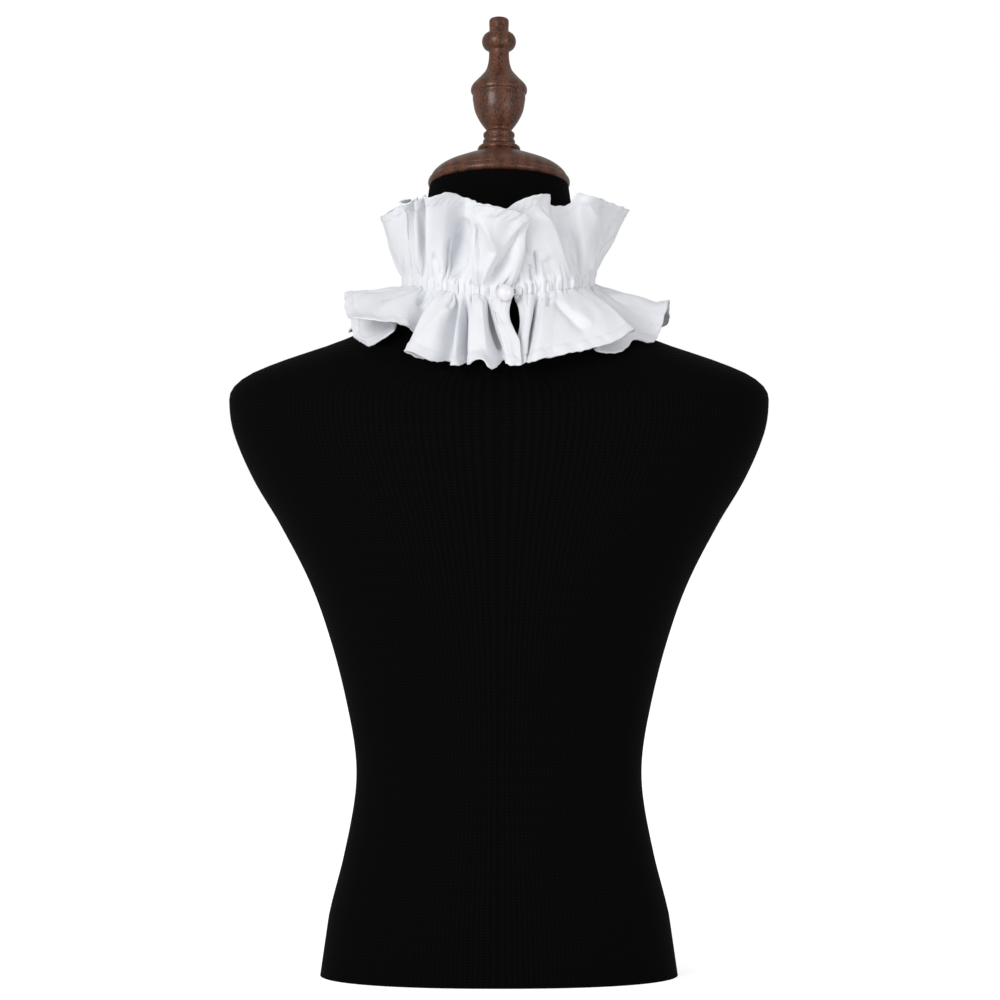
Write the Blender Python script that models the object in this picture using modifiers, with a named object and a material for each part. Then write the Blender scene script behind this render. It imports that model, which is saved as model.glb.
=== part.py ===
"""Ruffled collar on a limbless dress form, for Blender 4.5.

The collar is one strip of crisp cotton, drawn up on a line of gathers. Above the line it stands as a
frill, below it falls as another. It opens at the back, where a pearl button goes through a loop.
The back of the form faces -Y, +X is to the viewer's right, and the origin is on the centre of the base.
Tables are in millimetres and degrees; angles run round the neck from the back centre towards +X.
Lengths along Y are measured from a line through the neck, BASE_SHIFT behind the origin.
"""
import math
from collections import namedtuple

import bmesh
import bpy
from mathutils import Matrix, Vector

MM = 0.001

# Form
FORM_COLUMNS = 40
BASE_SHIFT = 6.0
SEAT_GAP = 0.3
ROOT_GAP = 1.0
NECK_TILT = 11.0

Section = namedtuple("Section", "height half_width back front roundness tilt")
FORM_SECTIONS = [
    Section(0, 133.8, -96, 88, 2.3, 0),
    Section(44, 127.5, -93, 87, 2.3, 0),
    Section(89, 116.3, -84, 84, 2.3, 0),
    Section(134, 108.0, -75, 83, 2.3, 0),
    Section(163, 107.6, -73, 84, 2.3, 0),
    Section(201, 114.0, -76, 89, 2.3, 0),
    Section(246, 125.3, -84, 99, 2.3, 0),
    Section(291, 141.0, -93, 109, 2.35, 0),
    Section(336, 163.9, -99, 115, 2.4, 0),
    Section(370, 184.0, -101, 113, 2.45, 0),
    Section(404, 198.4, -99, 103, 2.5, 0),
    Section(426, 201.8, -94, 90, 2.5, 0),
    Section(438, 199.5, -89, 81, 2.45, 0),
    Section(449, 186.0, -84.5, 73, 2.35, 0),
    Section(460, 159.0, -80.5, 66, 2.25, 0),
    Section(471, 126.0, -77, 60.5, 2.15, 0),
    Section(482, 99.0, -74, 56.5, 2.1, 0),
    Section(493, 81.0, -71.5, 53.5, 2.05, 0),
    Section(505, 70.0, -69.0, 51.5, 2.0, 1),
    Section(518, 64.0, -64.5, 51.0, 2.0, 2),
    Section(545, 58.5, -54.5, 53.0, 2.0, 5),
    Section(570, 55.2, -47.5, 55.5, 2.0, 9),
    Section(590, 52.4, -42.8, 58.2, 2.0, NECK_TILT),
]

# Collar
WALL = 1.1
HEM_WALL = 1.6
RING_HALF_WIDTH = 70.0
RING_HALF_DEPTH = 67.0
RING_Y = -8.0
RING_HEIGHT_SIDE = 519.0
RING_HEIGHT_BACK = 508.0
RING_HEIGHT_FRONT = 499.0
BAND_HEIGHT = 5.0
BAND_WALL = 1.3
BAND_RELIEF = 0.9
LEFT_END = 9.5
RIGHT_END = -347.5
GATHERS = 94
GATHER_RELIEF = 0.6
GATHER_FADE = 0.5
TUCK_RELIEF = 0.6
TUCK_TURN = 1.21
SWAY_END = 0.7
FRILL_ROWS = (0.0, 0.07, 0.2, 0.4, 0.65, 0.89, 1.0)
HEM_START = 0.89
FORM_CLEARANCE = 1.44

# Each row is one crest or one hollow of a frill, in order along the strip from its left end, round the
# front, to its right end: where it leaves the gathers, where it meets the hem, and how far its middle
# swells out and swings sideways.
Fold = namedtuple("Fold", "root angle reach height belly sway", defaults=(0.0,))
STANDING_LEFT = [
    Fold(9.0, 13.2, 102.5, 559.5, 3, 5),
    Fold(2.0, 10.0, 106.0, 561.5, 3, 3),
    Fold(-4.0, 5.5, 110.5, 563.5, 1, 1),
    Fold(-9.0, 0.0, 116.0, 565.0, 3),
    Fold(-14.5, -8.8, 117.0, 566.5, 4),
    Fold(-18.5, 2.5, 98.0, 564.8, 0),
    Fold(-24.0, -9.5, 88.0, 570.8, -3),
    Fold(-32.0, -17.0, 83.0, 575.0, -4),
    Fold(-39.0, -22.6, 96.0, 578.5, 1),
    Fold(-46.0, -29.5, 104.0, 575.5, 4),
    Fold(-51.0, -33.5, 96.0, 576.5, 0),
    Fold(-56.0, -34.8, 106.0, 571.5, 2),
    Fold(-61.0, -39.5, 94.0, 575.5, 0),
    Fold(-67.0, -41.8, 103.0, 572.6, 2),
    Fold(-74.0, -52.0, 83.0, 576.0, -2),
    Fold(-82.0, -73.0, 88.5, 566.0, 2),
    Fold(-91.0, -93.0, 86.0, 568.5, 2),
    Fold(-99.0, -110.0, 78.0, 577.0, 0),
]
STANDING_RIGHT = [
    Fold(-262.0, -240.0, 73.0, 582.0, 0),
    Fold(-273.0, -266.0, 97.0, 571.5, 2),
    Fold(-284.0, -291.0, 83.0, 575.5, 1),
    Fold(-292.0, -310.5, 90.5, 572.0, 2),
    Fold(-299.0, -324.0, 80.0, 571.5, -2),
    Fold(-305.0, -329.5, 76.0, 574.0, -3),
    Fold(-311.0, -337.5, 94.0, 577.5, 3),
    Fold(-322.0, -344.6, 98.5, 576.0, 3),
    Fold(-332.0, -350.5, 97.5, 572.5, 2),
    Fold(-340.0, -355.5, 94.0, 567.0, 0),
    Fold(-347.0, -360.5, 90.0, 562.5, 0, -3),
]
FALLING_LEFT = [
    Fold(9.0, 8.8, 107.5, 452.5, 4, -4),
    Fold(2.0, 7.0, 107.5, 452.0, 4, -3),
    Fold(-5.0, 3.6, 108.5, 452.5, 4, -2),
    Fold(-7.5, 2.6, 95.0, 455.0, 0),
    Fold(-10.0, -3.4, 109.5, 449.0, 3),
    Fold(-13.5, -7.6, 110.0, 455.0, 5),
    Fold(-17.5, -11.4, 109.0, 453.0, 4),
    Fold(-20.0, -13.6, 88.0, 454.0, -5),
    Fold(-22.5, -17.5, 104.5, 451.5, 3),
    Fold(-25.5, -22.4, 89.5, 455.0, -5),
    Fold(-30.0, -28.0, 107.5, 455.7, 4),
    Fold(-34.5, -37.8, 114.0, 463.0, 6),
    Fold(-38.5, -34.2, 104.0, 458.0, 1),
    Fold(-41.0, -31.6, 95.0, 459.0, 0),
    Fold(-43.5, -30.8, 88.5, 462.5, 0),
    Fold(-46.0, -34.0, 83.5, 466.5, 1),
    Fold(-49.0, -40.5, 87.0, 474.5, 1),
    Fold(-52.5, -43.0, 108.0, 484.0, 2),
    Fold(-56.0, -49.0, 125.5, 483.5, 5),
    Fold(-61.0, -59.5, 128.0, 489.0, 4),
    Fold(-66.5, -71.5, 120.0, 508.0, 1),
    Fold(-70.0, -75.0, 117.5, 503.0, 0),
    Fold(-75.0, -74.0, 113.5, 486.0, 1),
    Fold(-80.0, -67.0, 115.0, 470.0, 2),
    Fold(-84.0, -58.5, 110.0, 471.0, 2),
    Fold(-86.6, -52.8, 109.4, 471.3, 1),
    Fold(-89.8, -50.5, 101.3, 476.8, 0),
    Fold(-92.8, -57.1, 90.0, 481.6, 0),
    Fold(-96.5, -79.0, 97.0, 486.5, 0),
    Fold(-101.0, -94.0, 113.0, 481.0, 3),
]
FALLING_RIGHT = [
    Fold(-260.0, -256.0, 106.0, 480.0, 2),
    Fold(-267.0, -265.0, 126.5, 487.0, 3),
    Fold(-273.0, -273.0, 126.0, 500.0, 1),
    Fold(-278.0, -291.0, 121.5, 471.5, 3),
    Fold(-281.5, -296.5, 112.0, 473.0, 0),
    Fold(-285.0, -306.0, 110.5, 463.5, 2),
    Fold(-288.5, -316.5, 97.5, 463.0, 0),
    Fold(-291.5, -316.5, 102.5, 468.5, 0),
    Fold(-293.5, -311.5, 105.5, 471.5, 1),
    Fold(-297.0, -305.6, 112.5, 477.5, 1),
    Fold(-300.5, -306.2, 120.2, 477.3, 3),
    Fold(-305.0, -314.5, 118.0, 470.3, 5),
    Fold(-310.0, -325.0, 109.0, 464.0, 6),
    Fold(-320.0, -335.0, 104.5, 460.0, 6),
    Fold(-329.5, -345.0, 107.0, 455.5, 6),
    Fold(-334.5, -348.0, 103.0, 454.5, -8),
    Fold(-340.0, -350.0, 102.0, 453.5, 0),
    Fold(-344.0, -351.5, 101.0, 453.5, 1),
    Fold(-347.0, -352.5, 98.5, 454.5, 0, 1),
]

# The front is finished like the rest, in waves of uneven width between these limits. No crest reaches
# further sideways than the half width.
Wave = namedtuple("Wave", "count root_first root_last first last crest hollow crest_height hollow_height"
                  " half_width")
STANDING_FRONT = Wave(8, -106, -252, -124, -228, 112, 84, 561, 571, 86)
FALLING_FRONT = Wave(9, -107, -253, -104, -249, 118, 94, 454, 462, 118)
SHOULDER_RISE = 24.0
SHOULDER_REACH = 4.0

# Fastening
BUTTON_RADIUS = 6.3
BUTTON_DEPTH = 0.8
BUTTON_ANGLE = 3.4
BUTTON_DROP = 0.6
BUTTON_SAG = 1.3
SHANK_RADIUS = 1.7
SHANK_LENGTH = 3.2
SHANK_SINK = 1.0
BEAD_SINK = 0.4
LOOP_CORD = 1.1
LOOP_RADIUS = 2.6
LOOP_SPREAD = 1.7
LOOP_TAIL = 3.0
LOOP_WAIST = 0.6
LOOP_BULGE = 1.25
LOOP_LIFT = 0.56

# Turned wood: outlines from top to bottom, radius and height above the neck's top.
TURNING_STEPS = 28
Ring = namedtuple("Ring", "radius height")
CAP_OUTLINE = [
    Ring(14.6, 31.6), Ring(15.8, 30.4), Ring(16.0, 28.6), Ring(15.0, 27.2), Ring(16.6, 26.4),
    Ring(20.5, 25.0), Ring(26.1, 22.8), Ring(34.4, 19.4), Ring(41.6, 16.2), Ring(46.6, 13.0),
    Ring(49.8, 9.8), Ring(51.2, 7.4), Ring(51.2, 6.6), Ring(52.6, 5.6), Ring(53.3, 3.8),
    Ring(53.2, 2.0), Ring(52.2, 0.5), Ring(50.8, 0.0),
]
FINIAL_OUTLINE = [
    Ring(4.5, 132.4), Ring(6.6, 131.6), Ring(7.4, 130.0), Ring(7.4, 122.0), Ring(8.6, 120.8),
    Ring(11.0, 119.0), Ring(12.4, 116.6), Ring(12.9, 113.8), Ring(12.4, 111.0), Ring(10.8, 108.4),
    Ring(8.0, 106.6), Ring(7.6, 105.4), Ring(7.8, 99.5), Ring(8.6, 95.0), Ring(10.0, 91.0),
    Ring(12.6, 87.6), Ring(16.4, 83.4), Ring(19.4, 80.2), Ring(20.8, 78.0), Ring(21.3, 75.6),
    Ring(20.8, 73.4), Ring(19.9, 72.6), Ring(19.9, 69.0), Ring(19.4, 65.6), Ring(18.4, 60.0),
    Ring(16.6, 55.4), Ring(14.0, 50.6), Ring(11.2, 46.6), Ring(9.4, 44.0), Ring(10.2, 42.8),
    Ring(11.6, 41.6), Ring(11.8, 39.6), Ring(11.0, 37.8), Ring(11.0, 37.2), Ring(12.0, 35.8),
    Ring(12.0, 33.4), Ring(11.2, 31.9),
]


def lerp(a, b, t):
    """Straight blend from a to b."""
    return a + (b - a) * t


def polar(angle, reach, height):
    """Point round the neck, in millimetres, from its angle, its distance and its height."""
    turn = math.radians(angle)
    return Vector((reach * math.sin(turn), RING_Y - reach * math.cos(turn), height))


def ring_height(angle):
    """Height of the gathering line: high on the shoulders, lower at the back and the throat."""
    side = math.sin(math.radians(angle)) ** 2
    low = RING_HEIGHT_BACK if math.cos(math.radians(angle)) > 0 else RING_HEIGHT_FRONT
    return lerp(low, RING_HEIGHT_SIDE, side)


def ring_point(angle, out, up):
    """Point on the gathering line, moved out from the neck and up."""
    turn = math.radians(angle)
    x = (RING_HALF_WIDTH + out) * math.sin(turn)
    y = RING_Y - (RING_HALF_DEPTH + out) * math.cos(turn)
    return Vector((x, y, ring_height(angle) + up))


def form_section(height):
    """Half width, centre, half depth and roundness of the form at a height."""
    for low, high in zip(FORM_SECTIONS, FORM_SECTIONS[1:]):
        if height <= high.height:
            t = (height - low.height) / (high.height - low.height)
            half_width = lerp(low.half_width, high.half_width, t)
            back, front = lerp(low.back, high.back, t), lerp(low.front, high.front, t)
            return half_width, (back + front) / 2, (front - back) / 2, lerp(low.roundness, high.roundness, t)
    return form_section(FORM_SECTIONS[-1].height)


def form_top(x, y):
    """Height of the shoulder or the neck under a point, found by halving."""
    low, high = 400.0, 580.0
    for _ in range(16):
        middle = (low + high) / 2
        half_width, centre, half_depth, roundness = form_section(middle)
        spread = (abs(x) / half_width) ** roundness + (abs(y - centre) / half_depth) ** roundness
        if spread < 1.0:
            low = middle
        else:
            high = middle
    return low


def material(name, colour, roughness, metallic=0.0):
    """Plain Principled material for one part."""
    made = bpy.data.materials.new(name)
    made.use_nodes = True
    shader = made.node_tree.nodes["Principled BSDF"]
    shader.inputs["Base Color"].default_value = (*colour, 1.0)
    shader.inputs["Roughness"].default_value = roughness
    shader.inputs["Metallic"].default_value = metallic
    return made


def mesh_object(name, bm, collection, finish):
    """New object from a bmesh in millimetres, smooth shaded and in metres."""
    bmesh.ops.scale(bm, verts=bm.verts, vec=(MM, MM, MM))
    mesh = bpy.data.meshes.new(name)
    bm.to_mesh(mesh)
    bm.free()
    mesh.shade_smooth()
    mesh.materials.append(finish)
    made = bpy.data.objects.new(name, mesh)
    collection.objects.link(made)
    made.parent = bpy.data.objects["form_base"]
    return made


def loft(bm, rows, closed):
    """Quads between rows of points; each row is a list of vertices."""
    for row, following in zip(rows, rows[1:]):
        count = len(row) if closed else len(row) - 1
        for i in range(count):
            j = (i + 1) % len(row)
            bm.faces.new((row[i], row[j], following[j], following[i]))


def build_form(collection, finish):
    """Torso and neck: a loft of rounded sections, closed by its flat base and the tilted neck top."""
    bm = bmesh.new()
    rows = []
    for section in FORM_SECTIONS:
        centre = (section.back + section.front) / 2
        half_depth = (section.front - section.back) / 2
        slope = math.tan(math.radians(section.tilt))
        power = 2 / section.roundness
        row = []
        for i in range(FORM_COLUMNS):
            turn = 2 * math.pi * i / FORM_COLUMNS
            side, along = math.sin(turn), -math.cos(turn)
            x = section.half_width * math.copysign(abs(side) ** power, side)
            y = half_depth * math.copysign(abs(along) ** power, along)
            row.append(bm.verts.new((x, centre + y, section.height - slope * y)))
        rows.append(row)
    loft(bm, rows, closed=True)
    bm.faces.new(list(reversed(rows[0])))
    bm.faces.new(rows[-1])
    bmesh.ops.recalc_face_normals(bm, faces=bm.faces)
    made = mesh_object("form_torso", bm, collection, finish)
    made.data.set_sharp_from_angle(angle=math.radians(50))
    return made


def build_turning(name, outline, mount, collection, finish):
    """Turned piece: its outline, spun about the tilted axis of the neck."""
    bm = bmesh.new()
    points = [(0.0, outline[0].height)] + [(ring.radius, ring.height) for ring in outline]
    points.append((0.0, outline[-1].height))
    verts = [bm.verts.new((radius, 0.0, height)) for radius, height in points]
    for upper, lower in zip(verts, verts[1:]):
        bm.edges.new((upper, lower))
    made = mesh_object(name, bm, collection, finish)
    screw = made.modifiers.new("turning", "SCREW")
    screw.axis = "Z"
    screw.steps = TURNING_STEPS
    screw.render_steps = TURNING_STEPS
    screw.use_merge_vertices = True
    screw.merge_threshold = 0.00002
    made.parent = mount
    return made


def front_folds(wave, belly=2.0):
    """Round crests and narrow hollows across the front, uneven in width, reach and height."""
    folds = []
    for i in range(3 * wave.count + 1):
        lobe, part = divmod(i, 3)
        uneven = math.sin(1.7 * lobe + 0.6)
        place = lobe + (0.0, 0.34 - 0.06 * uneven, 0.68 + 0.05 * uneven)[part]
        place += 0.12 * math.sin(2.3 * lobe) * (part == 0) * (0 < lobe < wave.count)
        share = place / wave.count
        angle = lerp(wave.first, wave.last, share)
        crest = (0.0, 1.0, 0.9)[part]
        reach = lerp(wave.hollow + 3.0 * uneven, wave.crest + 4.0 * uneven, crest)
        height = lerp(wave.hollow_height, wave.crest_height - 3.0 * uneven, crest)
        reach = min(reach, wave.half_width / max(0.01, abs(math.sin(math.radians(angle)))))
        folds.append((lerp(wave.root_first, wave.root_last, share), angle, reach, height, belly * crest))
    return folds


def standing_folds():
    """All folds of the standing frill."""
    front = [Fold(*row) for row in front_folds(STANDING_FRONT)]
    return STANDING_LEFT + front + STANDING_RIGHT


def falling_folds():
    """All folds of the falling frill; over the throat its hem hangs lower than on the shoulders."""
    front = []
    for root, angle, reach, height, belly in front_folds(FALLING_FRONT):
        shoulder = math.sin(math.radians(root)) ** 2
        reach += SHOULDER_REACH * shoulder
        height += SHOULDER_RISE * shoulder
        front.append(Fold(root, angle, reach, height, belly))
    return FALLING_LEFT + front + FALLING_RIGHT


def smooth_curve(points, steps):
    """Centripetal curve through points: a list of (segment, share, point) samples."""
    ends = [points[0] * 2 - points[1]] + points + [points[-1] * 2 - points[-2]]
    samples = []
    for i in range(len(points) - 1):
        p0, p1, p2, p3 = ends[i:i + 4]
        t1 = max((p1 - p0).length, 0.5) ** 0.5
        t2 = t1 + max((p2 - p1).length, 0.5) ** 0.5
        t3 = t2 + max((p3 - p2).length, 0.5) ** 0.5
        last = steps + 1 if i == len(points) - 2 else steps
        for k in range(last):
            t = lerp(t1, t2, k / steps)
            a1 = p0 * ((t1 - t) / t1) + p1 * (t / t1)
            a2 = p1 * ((t2 - t) / (t2 - t1)) + p2 * ((t - t1) / (t2 - t1))
            a3 = p2 * ((t3 - t) / (t3 - t2)) + p3 * ((t - t2) / (t3 - t2))
            b1 = a1 * ((t2 - t) / t2) + a2 * (t / t2)
            b2 = a2 * ((t3 - t) / (t3 - t1)) + a3 * ((t - t1) / (t3 - t1))
            samples.append((i, k / steps, b1 * ((t2 - t) / (t2 - t1)) + b2 * ((t - t1) / (t2 - t1))))
    return samples


def strip_columns(folds, count):
    """Root angle, hem point, belly and sway at each column, spaced by cloth and by gathers alike."""
    samples = smooth_curve([polar(f.angle, f.reach, f.height) for f in folds], 12)
    dense = []
    travelled = 0.0
    before = samples[0][2]
    for i, share, point in samples:
        travelled += (point - before).length
        before = point
        upper = folds[min(i + 1, len(folds) - 1)]
        dense.append((travelled, lerp(folds[i].root, upper.root, share), point,
                      lerp(folds[i].belly, upper.belly, share), lerp(folds[i].sway, upper.sway, share)))
    first, last = folds[0].root, folds[-1].root
    keys = [0.5 * length / travelled + 0.5 * (root - first) / (last - first) for length, root, _, _, _ in dense]
    columns = []
    spot = 0
    for k in range(count):
        key = k / (count - 1)
        while spot < len(keys) - 2 and keys[spot + 1] < key:
            spot += 1
        share = min(1.0, (key - keys[spot]) / max(keys[spot + 1] - keys[spot], 1e-9))
        low, high = dense[spot], dense[spot + 1]
        columns.append((lerp(low[1], high[1], share), low[2].lerp(high[2], share),
                        lerp(low[3], high[3], share), lerp(low[4], high[4], share)))
    return columns


def frill_point(root, hem, belly, sway, t, standing, relief):
    """Point of a frill: from the gathers (t = 0) to the hem (t = 1), clear of the form."""
    side = 1.0 if standing else -1.0
    start = ring_point(root, 0.0, side * (BAND_HEIGHT / 2 + ROOT_GAP))
    point = start.lerp(hem, t)
    along = (hem - start).normalized()
    turn = math.radians(root)
    spread = 1.0 - (along.x * math.cos(turn) + along.y * math.sin(turn)) ** 2
    outward = Vector((point.x, point.y - RING_Y, 0.0)).normalized()
    sideways = Vector((-outward.y, outward.x, 0.0))
    face = outward if standing else (outward * 0.6 + Vector((0.0, 0.0, 0.8)))
    point += face * belly * math.sin(math.pi * t ** 0.8)
    point += face * relief * spread ** 3 * max(0.0, 1.0 - t / GATHER_FADE) ** 1.3
    point += sideways * sway * math.sin(math.pi * min(1.0, t / SWAY_END))
    if not standing:
        floor = form_top(point.x, point.y) + FORM_CLEARANCE
        point.z = max(point.z, floor)
    return point


def build_frill(name, folds, standing, collection, finish):
    """One frill: a sheet ruled from the gathers to its hem, with a thicker hem."""
    bm = bmesh.new()
    columns = strip_columns(folds, 2 * GATHERS + 1)
    rows = []
    for t in FRILL_ROWS:
        row = []
        for k, (root, hem, belly, sway) in enumerate(columns):
            relief = GATHER_RELIEF * (1 if k % 2 else -1)
            relief += TUCK_RELIEF * math.sin(TUCK_TURN * k) * min(1.0, t / FRILL_ROWS[1])
            row.append(bm.verts.new(frill_point(root, hem, belly, sway, t, standing, relief)))
        rows.append(row)
    loft(bm, rows, closed=False)
    made = mesh_object(name, bm, collection, finish)
    hem = made.vertex_groups.new(name="hem")
    width = len(columns)
    for index, t in enumerate(FRILL_ROWS):
        weight = 1.0 if t >= HEM_START else WALL / HEM_WALL
        hem.add(range(index * width, (index + 1) * width), weight, "REPLACE")
    wall = made.modifiers.new("wall", "SOLIDIFY")
    wall.thickness = HEM_WALL * MM
    wall.offset = 0.0
    wall.vertex_group = hem.name
    wall.use_even_offset = False
    return made


def build_band(collection, finish):
    """The shirred line: a low wall round the neck, its outer face drawn into small tucks."""
    bm = bmesh.new()
    count = 2 * GATHERS + 1
    half = BAND_HEIGHT / 2
    profile = ((0.0, half), (1.0, half), (1.0, -half), (0.0, -half))
    rows = []
    for out, up in profile:
        row = []
        for k in range(count):
            angle = lerp(LEFT_END, RIGHT_END, k / (count - 1))
            relief = BAND_RELIEF if k % 2 else 0.0
            offset = lerp(-BAND_WALL / 2, BAND_WALL / 2 + relief, out)
            row.append(bm.verts.new(ring_point(angle, offset, up)))
        rows.append(row)
    loft(bm, rows + rows[:1], closed=False)
    for end in (0, count - 1):
        bm.faces.new([row[end] for row in rows])
    bmesh.ops.recalc_face_normals(bm, faces=bm.faces)
    return mesh_object("gather_band", bm, collection, finish)


def button_frame():
    """Place of the button on the band, with local +Z pointing out from the neck."""
    seat = ring_point(BUTTON_ANGLE, BAND_WALL / 2 + BAND_RELIEF + SEAT_GAP, -BUTTON_DROP)
    turn = Matrix.Rotation(math.radians(BUTTON_ANGLE), 4, "Z") @ Matrix.Rotation(math.radians(90), 4, "X")
    return Matrix.Translation(seat) @ turn


def build_button(collection, finish):
    """Pearl button: a slightly flattened bead on a short shank."""
    bm = bmesh.new()
    centre = SHANK_LENGTH + BUTTON_RADIUS * BUTTON_DEPTH - BEAD_SINK
    bead = Matrix.Translation((0, -BUTTON_SAG, centre)) @ Matrix.Diagonal((1, 1, BUTTON_DEPTH, 1))
    bmesh.ops.create_uvsphere(bm, u_segments=20, v_segments=12, radius=BUTTON_RADIUS,
                              matrix=button_frame() @ bead)
    made = mesh_object("pearl_button", bm, collection, finish)
    bm = bmesh.new()
    length = SHANK_LENGTH + SHANK_SINK
    bmesh.ops.create_cone(bm, cap_ends=True, segments=12, radius1=SHANK_RADIUS, radius2=SHANK_RADIUS,
                          depth=length, matrix=button_frame() @ Matrix.Translation((0, 0, length / 2)))
    cutters = bpy.data.collections.new("cutters")
    bpy.context.scene.collection.children.link(cutters)
    shank = mesh_object("shank", bm, cutters, finish)
    shank.hide_render = True
    shank.display_type = "WIRE"
    union = made.modifiers.new("shank", "BOOLEAN")
    union.operation = "UNION"
    union.object = shank
    return made


def build_loop(collection, finish):
    """Thread loop: from the right end of the band, round the button's shank and back."""
    line = bpy.data.curves.new("button_loop", "CURVE")
    line.dimensions = "3D"
    line.bevel_depth = LOOP_CORD / 2 * MM
    line.bevel_resolution = 2
    line.use_fill_caps = True
    frame = button_frame()
    reach = math.radians(RIGHT_END + 360 - BUTTON_ANGLE) * RING_HALF_DEPTH + LOOP_TAIL
    points = [(reach, LOOP_SPREAD), (reach * LOOP_WAIST, LOOP_SPREAD * LOOP_BULGE)]
    for i in range(9):
        turn = math.radians(60 + 30 * i)
        points.append((LOOP_RADIUS * math.cos(turn), LOOP_RADIUS * math.sin(turn)))
    points += [(reach * LOOP_WAIST, -LOOP_SPREAD * LOOP_BULGE), (reach, -LOOP_SPREAD)]
    spline = line.splines.new("POLY")
    spline.points.add(len(points) - 1)
    for spot, (x, y) in zip(spline.points, points):
        share = max(0.0, x - LOOP_RADIUS) / (reach - LOOP_RADIUS)
        height = lerp(SHANK_LENGTH * LOOP_LIFT, LOOP_CORD / 2, share) - x * x / (2 * RING_HALF_DEPTH)
        spot.co = (*(frame @ Vector((x, y, height)) * MM), 1.0)
    made = bpy.data.objects.new("button_loop", line)
    line.materials.append(finish)
    collection.objects.link(made)
    made.parent = bpy.data.objects["form_base"]
    return made


def main():
    """Build the collar and its form."""
    for old in list(bpy.data.objects):
        bpy.data.objects.remove(old, do_unlink=True)
    collection = bpy.data.collections.new("ruffled_collar")
    bpy.context.scene.collection.children.link(collection)

    cotton = material("white_cotton", (0.85, 0.86, 0.88), 0.85)
    pearl = material("pearl", (0.84, 0.82, 0.83), 0.18)
    thread = material("white_thread", (0.82, 0.83, 0.85), 0.7)
    jersey = material("black_jersey", (0.006, 0.006, 0.007), 0.75)
    wood = material("walnut_stain", (0.09, 0.035, 0.022), 0.35)

    base = bpy.data.objects.new("form_base", None)
    base.location.y = BASE_SHIFT * MM
    collection.objects.link(base)

    build_form(collection, jersey)
    top = FORM_SECTIONS[-1]
    mount = bpy.data.objects.new("neck_top", None)
    mount.location = Vector((0, (top.back + top.front) / 2, top.height + SEAT_GAP)) * MM
    mount.rotation_euler = (math.radians(-NECK_TILT), 0, 0)
    mount.parent = base
    collection.objects.link(mount)
    build_turning("neck_cap", CAP_OUTLINE, mount, collection, wood)
    build_turning("finial", FINIAL_OUTLINE, mount, collection, wood)

    build_frill("standing_frill", standing_folds(), True, collection, cotton)
    build_frill("falling_frill", falling_folds(), False, collection, cotton)
    build_band(collection, cotton)
    build_button(collection, pearl)
    build_loop(collection, thread)


if __name__ == "__main__":
    main()
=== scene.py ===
"""Visible surfaces of a gathered cotton collar on its dress form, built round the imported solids.

Sizes in the tables are millimetres and degrees. Angles run round the neck from the back centre towards
+X, and lengths along Y are measured from a line through the neck, NECK_SHIFT behind the origin.
"""
import math
from collections import namedtuple

import bmesh
import bpy
import numpy as np
from bpy.props import FloatProperty, IntProperty, PointerProperty, StringProperty
from mathutils import Matrix, Vector

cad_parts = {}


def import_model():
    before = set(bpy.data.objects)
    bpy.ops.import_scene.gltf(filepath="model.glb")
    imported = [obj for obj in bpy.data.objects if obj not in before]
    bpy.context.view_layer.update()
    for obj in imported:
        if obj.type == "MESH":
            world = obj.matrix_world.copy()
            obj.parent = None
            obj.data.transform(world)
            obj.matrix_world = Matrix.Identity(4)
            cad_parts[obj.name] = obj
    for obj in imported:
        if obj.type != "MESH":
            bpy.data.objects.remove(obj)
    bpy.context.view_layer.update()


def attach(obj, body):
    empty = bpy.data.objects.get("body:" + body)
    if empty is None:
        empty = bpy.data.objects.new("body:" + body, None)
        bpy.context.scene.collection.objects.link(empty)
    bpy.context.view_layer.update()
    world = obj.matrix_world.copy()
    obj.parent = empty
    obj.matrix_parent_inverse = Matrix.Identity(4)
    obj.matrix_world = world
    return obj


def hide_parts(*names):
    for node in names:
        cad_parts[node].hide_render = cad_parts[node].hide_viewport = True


bl_info = {
    "name": "Ruffled Collar on a Dress Form",
    "version": (1, 0, 0),
    "blender": (4, 5, 0),
    "location": "View3D > Sidebar > Collar",
    "description": "Cotton frills, button, loop, jersey form and turned wood, around the packed solids",
    "category": "Object",
}

MM = 0.001
BODY = "root"

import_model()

# Form and gathering line, as in the solids
NECK_SHIFT = 6.0
NECK_TILT = 11.0
SEAT_GAP = 0.3
RING_HALF_WIDTH = 70.0
RING_HALF_DEPTH = 67.0
RING_Y = -8.0
RING_HEIGHT_SIDE = 519.0
RING_HEIGHT_BACK = 508.0
RING_HEIGHT_FRONT = 499.0
ROOT_RISE = 3.5
LEFT_END = 9.5
RIGHT_END = -347.5
SWAY_END = 0.7

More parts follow.
